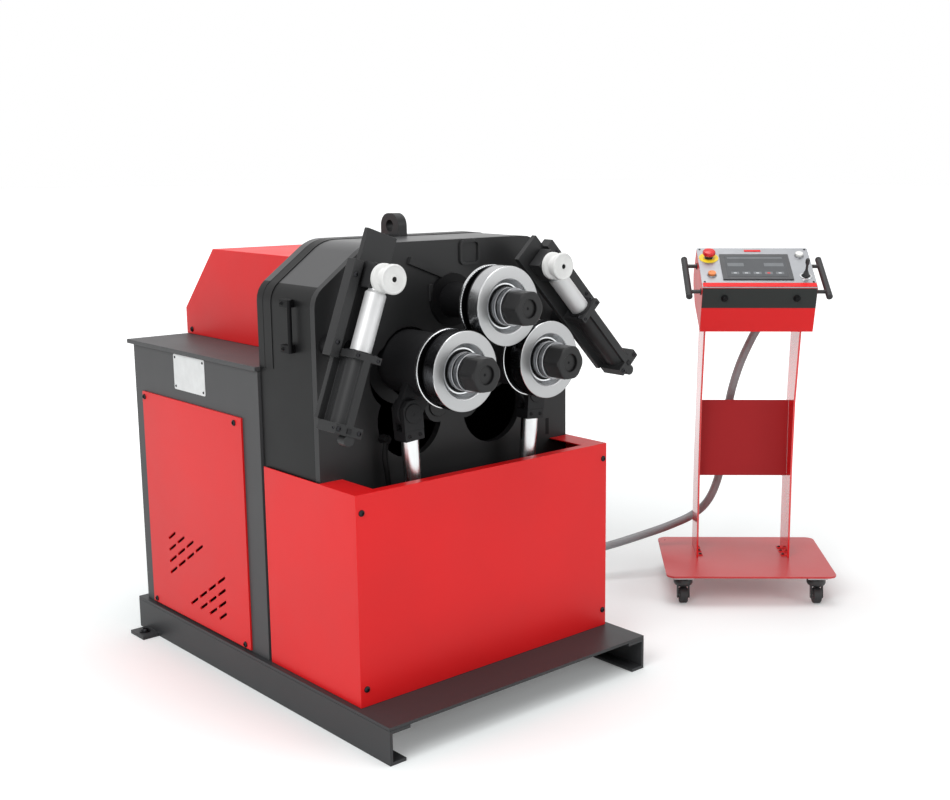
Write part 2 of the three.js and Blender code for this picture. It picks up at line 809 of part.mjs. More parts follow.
function headFrontPlate() {
  const yRange = [headFront, plateRear];
  const cutRange = [headFront - overrun, plateRear + overrun];
  let plate = alongY(shapeOf(headOutline(0, coverBottom)), yRange);
  for (const side of Object.values(sides)) {
    const clear = armHubRadius + openingClearance;
    const [lowX, lowZ] = loweredHub(side);
    plate = cutFrom(
      plate,
      rodAlongY(openingRadius, side * lowerRollOffset, openingCentreHeight, cutRange, fine),
      rodAlongY(clear, side * lowerRollOffset, lowerRollHeight, cutRange, fine),
      rodAlongY(clear, lowX, lowZ, cutRange, fine),
    );
    const pivotX = side * armPivotOffset;
    const webRange = [headFront, plateRear + armBehindPlate / 2];
    const pinRange = [headFront, plateRear + armBehindPlate + armThickness];
    const guideX = side * guidePivotOffset;
    const guideBoss = [guidePlateFront + guidePlateThickness + runningGap, plateRear];
    const guidePin = [guidePlateFront - 3 * runningGap, plateRear];
    plate = joined(
      plate,
      rodAlongY(armPivotEyeRadius, pivotX, armPivotHeight, webRange),
      rodAlongY(armPivotPinRadius, pivotX, armPivotHeight, pinRange),
      rodAlongY(guidePivotBossRadius, guideX, guidePivotHeight, guideBoss),
      rodAlongY(guidePivotPinRadius, guideX, guidePivotHeight, guidePin),
    );
  }
  const rollBack = rollFront + frontRingWidth + grooveWidth + backRingWidth;
  const boss = rodAlongY(bossRadius, 0, topRollHeight, [headFront - bossThickness, plateRear], fine);
  const sleeve = rodAlongY(sleeveRadius, 0, topRollHeight, [rollBack + sleeveToRoll, plateRear], fine);
  const bore = rodAlongY(shaftRadius + runningGap, 0, topRollHeight, [rollFront, plateRear + overrun], fine);
  const rib = new THREE.BoxGeometry(ribLength, 2 * ribThickness, ribWidth);
  rib.rotateY(ribTilt * degree);
  rib.translate(ribCentreX, headFront, headTop - ribBelowTop);
  return cutFrom(joined(plate, boss, sleeve, solid(rib)), bore);
}

machine.add(piece('head_shell', headShell(), 'black'));
machine.add(piece('head_front_plate', headFrontPlate(), 'black'));

// Lifting eye: an upright plate with a round top, standing on the head and over its rear rim
function liftingEye() {
  const y = headRear - eyeFromRear;
  const low = headTop + gap;
  const holeZ = low + eyeHoleAboveTop;
  const outline = new THREE.Shape();
  const rimFront = headRear - headRimThickness - gap;
  outline.moveTo(y - eyeWidth / 2, low);
  outline.lineTo(rimFront, low);
  outline.lineTo(rimFront, low + headRimWidth);
  outline.lineTo(y + eyeWidth / 2, low + headRimWidth);
  outline.absarc(y + eyeWidth / 2 - eyeRimWidth, holeZ, eyeRimWidth, 0, halfTurn / 2, false);
  outline.absarc(y - eyeWidth / 2 + eyeRimWidth, holeZ, eyeRimWidth, halfTurn / 2, halfTurn, false);
  outline.closePath();
  outline.holes.push(circlePath(y, holeZ, eyeHoleRadius));
  const eyeSteps = 8;
  return alongX(outline, [-eyeThickness / 2, eyeThickness / 2], eyeSteps);
}

// Handle on the left side of the head: an upright bar in front of two legs that lie along the side
function sideHandle() {
  const face = -headHalf - gap;
  const y = headFront + handleFromFront;
  const half = handleLength / 2;
  const centreZ = headTop - handleBelowTop;
  const barX = face - handleReach;
  const legs = [-1, 1].map((end) => {
    const zRange = [half - handleLegWidth, half].map((z) => centreZ + end * z).sort((a, b) => a - b);
    return block([barX - handleBarRadius, face], [y, y + handleLegLength], zRange);
  });
  const zRange = [centreZ - half, centreZ + half];
  return joined(rodAlongZ(handleBarRadius, barX, y, zRange, coarse), ...legs);
}

machine.add(piece('lifting_eye', liftingEye(), 'black'));
machine.add(piece('side_handle', sideHandle(), 'black'));

// Bending rolls: a front ring, a narrower spacer and a thin back ring, turned in one
const rollBack = rollFront + frontRingWidth + grooveWidth + backRingWidth;
const recessFloor = rollFront + recessDepth;

function bendingRoll(x, z) {
  const grooveFront = rollFront + frontRingWidth;
  const grooveBack = grooveFront + grooveWidth;
  const bore = shaftRadius + gap;
  return turned([
    [recessFloor, bore],
    [recessFloor, recessFloorRadius],
    [rollFront, recessRadius],
    [rollFront, rollRadius - rollEdge],
    [rollFront + rollEdge, rollRadius],
    [grooveFront - rollEdge, rollRadius],
    [grooveFront, rollRadius - rollEdge],
    [grooveFront, grooveRadius],
    [grooveBack, grooveRadius],
    [grooveBack, rollRadius - rollEdge],
    [grooveBack + rollEdge, rollRadius],
    [rollBack - rollEdge, rollRadius],
    [rollBack, rollRadius - rollEdge],
    [rollBack, bore],
  ], x, z);
}

function rollShaft(x, z, rear) {
  const nutFront = rollFront - nutReach;
  const tip = nutFront + nutSocketDepth + gap;
  const shoulder = recessFloor + gap;
  return turned([
    [tip, 0],
    [tip, threadRadius - rollEdge],
    [tip + rollEdge, threadRadius],
    [shoulder, threadRadius],
    [shoulder, shaftRadius],
    [rear - rollEdge, shaftRadius],
    [rear, shaftRadius - rollEdge],
    [rear, 0],
  ], x, z, medium);
}

// Hexagonal lock nut with a grooved pressure collar behind it
function lockNut(x, z) {
  const front = rollFront - nutReach;
  const hexBack = front + nutLength;
  const collarBack = recessFloor - gap;
  const hexRadius = nutAcrossFlats / 2 / Math.cos(halfTurn / 6);
  const hexShape = shapeOf(Array.from({ length: 6 }, (_, corner) => {
    const angle = (corner * halfTurn) / 3;
    return [x + hexRadius * Math.cos(angle), z + hexRadius * Math.sin(angle)];
  }));
  const rounded = turned([
    [front, 0],
    [front, nutAcrossFlats / 2],
    [front + rollEdge, nutCornerRadius],
    [hexBack, nutCornerRadius],
    [hexBack, 0],
  ], x, z, medium);
  const hex = alongY(hexShape, [front, hexBack]).intersect(rounded);
  const grooveAt = (hexBack + collarBack) / 2;
  const collar = turned([
    [hexBack - rollEdge, 0],
    [hexBack - rollEdge, collarRadius],
    [grooveAt - collarGrooveWidth / 2, collarRadius],
    [grooveAt - collarGrooveWidth / 2, collarGrooveRadius],
    [grooveAt + collarGrooveWidth / 2, collarGrooveRadius],
    [grooveAt + collarGrooveWidth / 2, collarRadius],
    [collarBack, collarRadius],
    [collarBack, 0],
  ], x, z, medium);
  const threadRange = [front + nutSocketDepth, collarBack + overrun];
  const thread = rodAlongY(threadRadius + gap, x, z, threadRange);
  const socket = rodAlongY(nutSocketRadius, x, z, [front - overrun, front + nutSocketDepth + overrun], coarse);
  return cutFrom(joined(hex, collar), thread, socket);
}

const armRear = plateRear + armBehindPlate + armThickness;
const lowerShaftRear = armRear + motorSocketDepth - gap;
const rollPlaces = {
  top: [0, topRollHeight, topShaftRear],
  left: [-lowerRollOffset, lowerRollHeight, lowerShaftRear],
  right: [lowerRollOffset, lowerRollHeight, lowerShaftRear],
};
for (const [place, [x, z, rear]] of Object.entries(rollPlaces)) {
  machine.add(piece(`${place}_shaft`, rollShaft(x, z, rear), 'steel'));
  machine.add(piece(`${place}_roll`, bendingRoll(x, z), 'chrome'));
  machine.add(piece(`${place}_lock_nut`, lockNut(x, z), 'black'));
}

// Swing arm: hub round the roll shaft, link to the pivot behind the front plate, motor at the
// back, and in front an ear whose pin the lift cylinder pushes
function swingArm(side) {
  const hubX = side * lowerRollOffset;
  const pivotX = side * armPivotOffset;
  const pinX = side * clevisPinOffset;
  const armRange = [plateRear + armBehindPlate, armRear];
  const hub = rodAlongY(armHubRadius, hubX, lowerRollHeight, [rollBack + hubToRoll, armRear], fine);
  const link = linkShape(hubX, lowerRollHeight, armHubRadius, pivotX, armPivotHeight, armPivotEyeRadius);
  const linkBody = alongY(link, armRange, coarse);
  const ear = linkShape(hubX, lowerRollHeight, earRootRadius, pinX, clevisPinHeight, earRadius);
  const earRange = [cylinderPlane - earThickness / 2, cylinderPlane + earThickness / 2];
  const earBody = alongY(ear, earRange, coarse);
  const pinReach = clevisDepth / 2 - runningGap;
  const pinRange = [cylinderPlane - pinReach, cylinderPlane + pinReach];
  const pin = rodAlongY(clevisPinRadius, pinX, clevisPinHeight, pinRange, coarse);
  const motorRange = [armRear - overrun, armRear + motorLength];
  const motor = rodAlongY(motorRadius, hubX, lowerRollHeight, motorRange);
  const boreRange = [rollFront, armRear + motorSocketDepth];
  const shaftBore = rodAlongY(shaftRadius + runningGap, hubX, lowerRollHeight, boreRange, fine);
  const pivotRange = [armRange[0] - overrun, armRange[1] + overrun];
  const pivotBore = rodAlongY(armPivotPinRadius + runningGap, pivotX, armPivotHeight, pivotRange);
  return cutFrom(joined(hub, linkBody, earBody, pin, motor), shaftBore, pivotBore);
}

machine.add(piece('left_swing_arm', swingArm(sides.left), 'black'));
machine.add(piece('right_swing_arm', swingArm(sides.right), 'black'));

// Lift cylinders, drawn upright from their foot pin and leaned over by their group
const liftSpan = Math.hypot(clevisPinOffset - cylinderFootOffset, clevisPinHeight - cylinderFootHeight);
const liftLean = Math.atan2(clevisPinOffset - cylinderFootOffset, clevisPinHeight - cylinderFootHeight);

function liftCylinder() {
  const eyeHalf = cylinderEyeThickness / 2;
  const eye = rodAlongY(cylinderEyeRadius, 0, 0, [cylinderPlane - eyeHalf, cylinderPlane + eyeHalf]);
  const barrelLow = cylinderEyeRadius;
  const neck = rodAlongZ(cylinderEyeRadius / 2, 0, cylinderPlane, [footPinRadius + overrun, barrelLow + overrun]);
  const barrel = rodAlongZ(cylinderRadius, 0, cylinderPlane, [barrelLow + overrun / 2, cylinderTopFromFoot]);
  const capLow = cylinderTopFromFoot - cylinderCapLength;
  const cap = rodAlongZ(cylinderCapRadius, 0, cylinderPlane, [capLow, cylinderTopFromFoot]);
  const boreLow = barrelLow + cylinderFloorThickness;
  const bore = rodAlongZ(rodRadius + runningGap, 0, cylinderPlane, [boreLow, cylinderTopFromFoot + overrun]);
  const eyeRange = [cylinderPlane - eyeHalf - overrun, cylinderPlane + eyeHalf + overrun];
  const eyeBore = rodAlongY(footPinRadius + runningGap, 0, 0, eyeRange, coarse);
  return cutFrom(joined(eye, neck, barrel, cap), bore, eyeBore);
}

function cylinderRod() {
  const low = liftSpan - clevisBelowPin;
  const high = liftSpan + clevisAbovePin;
  const half = clevisWidth / 2;
  const outline = shapeOf([
    [-half, low],
    [half, low],
    [half, high - clevisChamfer],
    [half - clevisChamfer, high],
    [-half + clevisChamfer, high],
    [-half, high - clevisChamfer],
  ]);
  const yRange = [cylinderPlane - clevisDepth / 2, cylinderPlane + clevisDepth / 2];
  const clevis = alongY(outline, yRange);
  const slotHalf = earThickness / 2 + 2 * runningGap;
  const slotY = [cylinderPlane - slotHalf, cylinderPlane + slotHalf];
  const slot = block([-clevisWidth, clevisWidth], slotY, [liftSpan - clevisSlotBelowPin, high + overrun]);
  const holeRange = [yRange[0] - overrun, yRange[1] + overrun];
  const hole = rodAlongY(clevisPinRadius + clevisPinClearance, 0, liftSpan, holeRange, coarse);
  const rod = rodAlongZ(rodRadius, 0, cylinderPlane, [rodLowerEndFromFoot, low + overrun]);
  return cutFrom(joined(clevis, rod), slot, hole);
}

for (const [name, side] of Object.entries(sides)) {
  const lift = new THREE.Group();
  lift.position.set(side * cylinderFootOffset, 0, cylinderFootHeight);
  lift.rotation.y = side * liftLean;
  lift.add(piece(`${name}_cylinder`, liftCylinder(), 'black'));
  lift.add(piece(`${name}_cylinder_rod`, cylinderRod(), 'chrome'));
  machine.add(lift);
}

// Lateral guide bracket, drawn upright from its pivot: a back plate with a rail along its outer
// edge, and a round webbed housing between two flanges that holds the rod
function guideBracket({ side, reach, plateAbove, flangeToRoller, bodyLength }) {
  const flangeTop = reach - flangeToRoller;
  const bodyTop = flangeTop - upperFlangeThickness;
  const bodyLow = bodyTop - bodyLength;
  const flangeLow = bodyLow - lowerFlangeThickness;
  const plateX = [-guidePlateHalfWidth, guidePlateHalfWidth];
  const plateY = [guidePlateFront, guidePlateFront + guidePlateThickness];
  const plate = block(plateX, plateY, [bodyLow, reach + plateAbove]);
  const railEdges = [guidePlateHalfWidth - overrun, guidePlateHalfWidth + guideRailWidth];
  const railX = railEdges.map((edge) => side * edge).sort((first, second) => first - second);
  const railTop = reach + guideRailAboveRoller;
  const railY = [plateY[1] - guideRailDepth, plateY[1]];
  const rail = block(railX, railY, [railTop - guideRailLength, railTop]);
  const bodyY = [guideBodyFront, guidePlateFront + overrun];
  const web = block([-guideWebHalfWidth, guideWebHalfWidth], bodyY, [bodyLow, bodyTop]);
  const housing = rodAlongZ(guideHousingRadius, 0, guideRodPlane, [bodyLow, bodyTop], fine);
  const rootX = [-guideRootHalfWidth, guideRootHalfWidth];
  const root = block(rootX, [guideRodPlane, bodyY[1]], [bodyLow, bodyTop]);
  const flangeX = [-guideFlangeHalfWidth, guideFlangeHalfWidth];
  const upper = block(flangeX, bodyY, [bodyTop, flangeTop]);
  const lower = block(flangeX, bodyY, [flangeLow, bodyLow]);
  const lugY = [guideBodyFront + overrun, guideBodyFront + overrun + guideLugLength];
  const lug = rodAlongY(guideLugRadius, -side * guideLugInward, flangeLow - guideLugDrop, lugY);
  const boreRange = [flangeLow + guideBoreFloor, flangeTop + overrun];
  const bore = rodAlongZ(guideRodRadius + runningGap, 0, guideRodPlane, boreRange);
  const pivotRange = [guidePlateFront - 5 * runningGap, plateY[1] + overrun];
  const pivotBore = rodAlongY(guidePivotPinRadius + runningGap, 0, 0, pivotRange);
  return cutFrom(joined(plate, rail, web, housing, root, upper, lower, lug), bore, pivotBore);
}

// Chromed rod with the head block and the axle of the spool
function guideRod({ reach, flangeToRoller }) {
  const blockLow = reach - guideBlockHeight / 2;
  const rodLow = reach - flangeToRoller - guideRodInBody;
  const rod = rodAlongZ(guideRodRadius, 0, guideRodPlane, [rodLow, blockLow + overrun]);
  const xRange = [-guideBlockHalfWidth, guideBlockHalfWidth];
  const yRange = [guideBlockFront, guideBlockFront + guideBlockDepth];
  const head = block(xRange, yRange, [blockLow, blockLow + guideBlockHeight]);
  const axleRange = [spoolFront + runningGap, guideBlockFront + overrun];
  const axle = rodAlongY(guideAxleRadius, 0, reach, axleRange, coarse);
  const notchRange = [guideBodyFront, guideBlockFront];
  const notch = rodAlongY(spoolRadius + 2 * runningGap, 0, reach, notchRange, medium);
  return joined(cutFrom(rod, notch), head, axle);
}

function guideSpool({ reach }) {
  const back = spoolFront + spoolLength;
  const waistStart = spoolFront + spoolFlangeWidth;
  const waistEnd = back - spoolFlangeWidth;
  const taper = (spoolRadius - spoolWaistRadius) / 2;
  return turned([
    [spoolFront, guideAxleRadius + runningGap],
    [spoolFront, spoolRadius - overrun],
    [spoolFront + overrun, spoolRadius],
    [waistStart, spoolRadius],
    [waistStart + taper, spoolWaistRadius],
    [waistEnd - taper, spoolWaistRadius],
    [waistEnd, spoolRadius],
    [back - overrun, spoolRadius],
    [back, spoolRadius - overrun],
    [back, guideAxleRadius + runningGap],
  ], 0, reach, medium);
}

const guides = {
  left: {
    side: sides.left,
    tilt: leftGuideTilt,
    reach: leftGuideReach,
    plateAbove: leftGuidePlateTop,
    flangeToRoller: leftFlangeToRoller,
    bodyLength: leftGuideBodyLength,
  },
  right: {
    side: sides.right,
    tilt: rightGuideTilt,
    reach: rightGuideReach,
    plateAbove: rightGuidePlateTop,
    flangeToRoller: rightFlangeToRoller,
    bodyLength: rightGuideBodyLength,
  },
};
for (const [name, sizes] of Object.entries(guides)) {
  const guide = new THREE.Group();
  guide.position.set(sizes.side * guidePivotOffset, 0, guidePivotHeight);
  guide.rotation.y = sizes.tilt * degree;
  guide.add(piece(`${name}_guide_bracket`, guideBracket(sizes), 'black'));
  guide.add(piece(`${name}_guide_rod`, guideRod(sizes), 'chrome'));
  guide.add(piece(`${name}_guide_roller`, guideSpool(sizes), 'white'));
  machine.add(guide);
}

// Cable gland: a flange and a tapered nose that the conduit meets, drawn along its own axis
function gland(length) {
  return turned([
    [0, 0],
    [0, glandFlangeRadius],
    [glandFlangeThickness, glandFlangeRadius],
    [glandFlangeThickness, glandRadius],
    [length - glandFlangeThickness, glandRadius],
    [length, conduitDiameter / 2 + overrun],
    [length, 0],
  ], 0, 0, coarse);
}

const machineGland = piece('machine_gland', gland(glandLength), 'rubber');
machineGland.position.set(coverHalf + gap, machineGlandY, machineGlandZ);
machineGland.rotation.z = -halfTurn / 2;
machine.add(machineGland);

// Console frame: X across, Y from the user's side to the back, Z up from the floor
const console_ = new THREE.Group();
console_.position.set(consoleX, consoleY, 0);
console_.rotation.z = consoleYaw * degree;

const consoleBaseHalfWidth = consoleBaseWidth / 2;
const consoleBaseHalfDepth = consoleBaseDepth / 2;
const consoleBaseLow = consoleBaseTop - consoleBaseThickness;

const casterPlaces = {
  front_left: [-1, -1],
  front_right: [1, -1],
  rear_left: [-1, 1],
  rear_right: [1, 1],
};

function casterCentre([across, deep]) {
  const x = across * (consoleBaseHalfWidth - casterInsetSide);
  return [x, deep * (consoleBaseHalfDepth - casterInsetFront)];
}

// Base plate with a square mounting block under each corner
function consoleBase() {
  const xRange = [-consoleBaseHalfWidth, consoleBaseHalfWidth];
  const yRange = [-consoleBaseHalfDepth, consoleBaseHalfDepth];
  const cornerSteps = 5;
  const outline = roundedRectangle(xRange, yRange, consoleBaseCorner);
  const plate = alongZ(outline, [consoleBaseLow, consoleBaseTop], cornerSteps);
  const half = casterBlockSize / 2;
  const zRange = [consoleBaseLow - casterBlockHeight, consoleBaseLow + consoleBaseThickness / 2];
  const blocks = Object.values(casterPlaces).map((place) => {
    const [x, y] = casterCentre(place);
    return block([x - half, x + half], [y - half, y + half], zRange);
  });
  return joined(plate, ...blocks);
}

// Height of the box's sloping underside above a place along the depth
function boxUnderside(depthPlace) {
  const share = (depthPlace - boxFrontLow) / (boxHip - boxFrontLow);
  return boxFrontLowHeight + share * (boxHipHeight - boxFrontLowHeight);
}

// Side plate of the console: upright below, leaning to the user above the shelf
function consoleColumn() {
  const low = consoleBaseTop + gap;
  const topFront = columnTopFront;
  const topRear = columnTopFront + columnTopDepth;
  return shapeOf([
    [columnFootFront, low],
    [columnFootFront + columnDepth, low],
    [columnFootFront + columnDepth, columnKneeHeight],
    [columnBendFront + columnBendDepth, columnBendHeight],
    [topRear, boxUnderside(topRear) - gap],
    [topFront, boxUnderside(topFront) - gap],
    [columnBendFront, columnBendHeight],
    [columnFootFront, columnKneeHeight],
  ]);
}

function documentShelf() {
  const half = columnSpacing / 2 - columnThickness / 2 - gap;
  const xRange = [columnMiddle - half, columnMiddle + half];
  const yRange = [shelfDepthPlace, shelfDepthPlace + shelfThickness];
  return block(xRange, yRange, [shelfBottom, shelfBottom + shelfHeight]);
}

console_.add(piece('console_base', consoleBase(), 'red'));
for (const [name, side] of Object.entries(sides)) {
  const centre = columnMiddle + (side * columnSpacing) / 2;
  const xRange = [centre - columnThickness / 2, centre + columnThickness / 2];
  console_.add(piece(`${name}_column`, alongX(consoleColumn(), xRange), 'red'));
}
console_.add(piece('document_shelf', documentShelf(), 'darkRed'));

// Control box: a sheet tray with a sloping open top
const boxHalf = boxWidth / 2;
const slopeRun = boxRearTop - boxFrontTop;
const slopeRise = boxRearTopHeight - boxFrontTopHeight;
const slopeLength = Math.hypot(slopeRun, slopeRise);
const slopeAngle = Math.atan2(slopeRise, slopeRun);

function controlBox() {
  const outline = [
    [boxFrontLow, boxFrontLowHeight],
    [boxHip, boxHipHeight],
    [boxBack, boxBackLowHeight],
    [boxBack, boxBackHeight],
    [boxRearTop, boxRearTopHeight],
    [boxFrontTop, boxFrontTopHeight],
  ];
  const outside = alongX(shapeOf(outline), [-boxHalf, boxHalf]);
  const middleY = (boxFrontLow + boxRearTop) / 2;
  const middleZ = (boxFrontLowHeight + boxRearTopHeight) / 2;
  const shrunk = (value, middle, extent) => middle + (value - middle) * (1 - (2 * boxSheet) / extent);
  const insideOutline = outline.map(([y, z]) => [
    shrunk(y, middleY, slopeRun),
    shrunk(z, middleZ, boxFrontTopHeight - boxFrontLowHeight),
  ]);
  const inside = alongX(shapeOf(insideOutline), [-boxHalf + boxSheet, boxHalf - boxSheet]);
  const mouth = block(
    [-boxHalf + boxSheet, boxHalf - boxSheet],
    [2 * boxSheet, slopeLength - 2 * boxSheet],
    [-6 * boxSheet, overrun],
  ).rotate([slopeAngle / degree, 0, 0]).translate([0, boxFrontTop, boxFrontTopHeight]);
  return cutFrom(outside, inside, mouth);
}

console_.add(piece('console_box', controlBox(), 'red'));

// Pieces on the sloping panel: X across, Y up the slope, Z out of the panel
const face = new THREE.Group();
face.position.set(0, boxFrontTop, boxFrontTopHeight);
face.rotation.x = slopeAngle;
console_.add(face);

const panelLow = gap;
const panelTop = panelLow + panelThickness;

function controlPanel() {
  const plate = block([-boxHalf, boxHalf], [0, slopeLength], [panelLow, panelTop]);
  const through = [panelLow - overrun, panelTop + overrun];
  const holes = [
    [stopPlaceAcross, stopPlaceUp, stopStemRadius],
    [startPlaceAcross, startPlaceUp, buttonStemRadius],
    [lampPlaceAcross, lampPlaceUp, buttonStemRadius],
    [joystickPlaceAcross, joystickPlaceUp, joystickBallRadius],
  ].map(([x, y, radius]) => rodAlongZ(radius + runningGap, x, y, through, medium));
  const screenHalf = screenWidth / 2 - screenProud;
  const window = block(
    [-screenHalf - gap, screenHalf + gap],
    [screenLow + screenProud - gap, screenLow + screenHeight - screenProud + gap],
    through,
  );
  return cutFrom(plate, window, ...holes);
}

// Touch screen: a bezel on the panel and its body in the window below
function touchScreen() {
  const half = screenWidth / 2;
  const bezelY = [screenLow, screenLow + screenHeight];
  const bezel = block([-half, half], bezelY, [panelTop + gap, panelTop + gap + screenProud]);
  const bodyY = [bezelY[0] + screenProud, bezelY[1] - screenProud];
  const bodyZ = [panelTop - screenDepth, panelTop + gap + overrun];
  return joined(bezel, block([-half + screenProud, half - screenProud], bodyY, bodyZ));
}

// Push button: cap, neck and stem, standing clear of the panel by its travel
function pushButton(x, y, capRadius, capHeight, neckRadius, neckHeight, stemRadius, travel) {
  const low = panelTop + travel + gap;
  const neckTop = low + neckHeight;
  const stem = rodAlongZ(stemRadius, x, y, [panelLow - buttonStemLength, low + overrun], medium);
  const neck = rodAlongZ(neckRadius, x, y, [low, neckTop + overrun], medium);
  const cap = rodAlongZ(capRadius, x, y, [neckTop, neckTop + capHeight], medium);
  return joined(stem, neck, cap);
}

function joystick() {
  const middle = (panelLow + panelTop) / 2;
  const sphere = new THREE.SphereGeometry(joystickBallRadius, coarse, coarse / 2);
  sphere.rotateX(halfTurn / 2);
  sphere.translate(joystickPlaceAcross, joystickPlaceUp, middle);
  const tip = middle + joystickBallRadius + joystickLeverLength;
  const lever = new THREE.CylinderGeometry(joystickKnobRadius, joystickLeverRadius, tip - middle, coarse);
  lever.rotateX(halfTurn / 2);
  lever.translate(joystickPlaceAcross, joystickPlaceUp, (middle + tip) / 2);
  return joined(solid(sphere), solid(lever));
}

face.add(piece('control_panel', controlPanel(), 'fascia'));
face.add(piece('touch_screen', touchScreen(), 'glass'));
face.add(piece('emergency_stop', pushButton(stopPlaceAcross, stopPlaceUp, stopCapRadius, stopCapLength,
  stopNeckRadius, stopNeckLength, stopStemRadius, stopTravel), 'stopRed'));
face.add(piece('start_button', pushButton(startPlaceAcross, startPlaceUp, buttonRadius, buttonHeight,
  buttonStemRadius, overrun, buttonStemRadius, buttonTravel), 'orange'));
face.add(piece('lamp_button', pushButton(lampPlaceAcross, lampPlaceUp, buttonRadius, buttonHeight,
  buttonStemRadius, overrun, buttonStemRadius, buttonTravel), 'white'));
face.add(piece('joystick', joystick(), 'rubber'));

// Grip bars beside the box, carried by two arms each
function gripBar(side) {
  const x = side * gripOffset;
  const z = -gripDrop;
  const bar = new THREE.CylinderGeometry(gripRadius, gripRadius, gripLength, coarse);
  bar.translate(x, gripLowUp + gripLength / 2, z);
  const inner = side * (boxHalf + gap);
  const arms = [gripArmLowShare, gripArmHighShare].map((share) => {
    const xRange = [inner, x].sort((a, b) => a - b);
    return rodAlongX(gripArmRadius, gripLowUp + share * gripLength, z, xRange, coarse);
  });
  return joined(solid(bar), ...arms);
}

face.add(piece('left_handle', gripBar(sides.left), 'rubber'));
face.add(piece('right_handle', gripBar(sides.right), 'rubber'));

// Casters: swivel head, two fork cheeks and the axle; the wheel turns on the axle
function casterFork() {
  const top = -casterBlockHeight - gap;
  const headLow = top - casterHeadHeight;
  const head = rodAlongZ(casterHeadRadius, 0, 0, [headLow, top], medium);
  const axleDrop = wheelRadius - consoleBaseLow;
  const inner = wheelWidth / 2 + runningGap;
  const cheeks = Object.values(sides).map((side) => {
    const xRange = [side * inner, side * (inner + casterForkThickness)].sort((a, b) => a - b);
    const cheek = shapeOf([
      [-casterHeadRadius / 2, headLow + overrun],
      [-casterTrail - 2 * wheelAxleRadius, axleDrop - wheelAxleRadius],
      [-casterTrail + 2 * wheelAxleRadius, axleDrop - wheelAxleRadius],
      [casterHeadRadius / 2, headLow + overrun],
    ]);
    return alongX(cheek, xRange);
  });
  const axleRange = [-inner - casterForkThickness, inner + casterForkThickness];
  const axle = rodAlongX(wheelAxleRadius, -casterTrail, axleDrop, axleRange, coarse);
  return joined(head, ...cheeks, axle);
}

function casterWheel() {
  const half = wheelWidth / 2;
  const bore = wheelAxleRadius + runningGap;
  return turned([
    [-half, bore],
    [-half, wheelRadius - wheelEdge],
    [-half + wheelEdge, wheelRadius],
    [half - wheelEdge, wheelRadius],
    [half, wheelRadius - wheelEdge],
    [half, bore],
  ], 0, 0, medium);
}

for (const [name, place] of Object.entries(casterPlaces)) {
  const caster = new THREE.Group();
  const [x, y] = casterCentre(place);
  caster.position.set(x, y, consoleBaseLow);
  caster.add(piece(`${name}_caster`, casterFork(), 'black'));
  const wheel = piece(`${name}_wheel`, casterWheel(), 'rubber');
  wheel.position.set(0, -casterTrail, wheelRadius - consoleBaseLow);
  wheel.rotation.z = halfTurn / 2;
  caster.add(wheel);
  console_.add(caster);
}

const consoleGland = piece('console_gland', gland(consoleGlandLength), 'rubber');
const undersideAngle = Math.atan2(boxHipHeight - boxFrontLowHeight, boxHip - boxFrontLow);
const glandDrop = gap / Math.cos(undersideAngle);
consoleGland.position.set(consoleGlandAcross, consoleGlandDepth, boxUnderside(consoleGlandDepth) - glandDrop);
consoleGland.rotation.x = undersideAngle - halfTurn / 2;
console_.add(consoleGland);

// Conduit: its route in the machine's frame, chosen by hand from gland to gland
const conduitRoute = [
  [452.6, 700, 150],
  [482, 700, 150],
  [520, 700, 146],
  [575, 698, 130],
  [660, 690, 108],
  [780, 668, 95],
  [917, 621, 108],
  [1046, 552, 142],
  [1110, 510, 166],
  [1179, 471, 197],
  [1208, 432, 246],
  [1223, 400, 332],
  [1229, 382, 462],
  [1228, 364, 600],
  [1219, 318, 724],
  [1219, 268, 822],
  [1217.3, 246.4, 855.2],
  [1211.7, 240.6, 876.1],
];

function conduit() {
  const curve = new THREE.CatmullRomCurve3(conduitRoute.map((point) => new THREE.Vector3(...point)));
  const ring = Array.from({ length: conduitSides }, (_, corner) => {
    const angle = (2 * halfTurn * corner) / conduitSides;
    return [(conduitDiameter / 2) * Math.cos(angle), (conduitDiameter / 2) * Math.sin(angle)];
  });
  return solid(new THREE.ExtrudeGeometry(shapeOf(ring), { steps: conduitSteps, extrudePath: curve }));
}

// The whole object, shifted so that its bounding box stands centred on the origin
const bender = new THREE.Group();
const placed = new THREE.Group();
placed.add(machine, console_);
placed.updateMatrixWorld(true);
const extent = new THREE.Box3().setFromObject(placed, true);
const middle = extent.getCenter(new THREE.Vector3());
placed.add(piece('conduit', conduit(), 'conduitGrey'));
placed.position.set(-middle.x, -middle.y, -extent.min.z);
bender.add(placed);
bender.updateMatrixWorld(true);

export default bender;
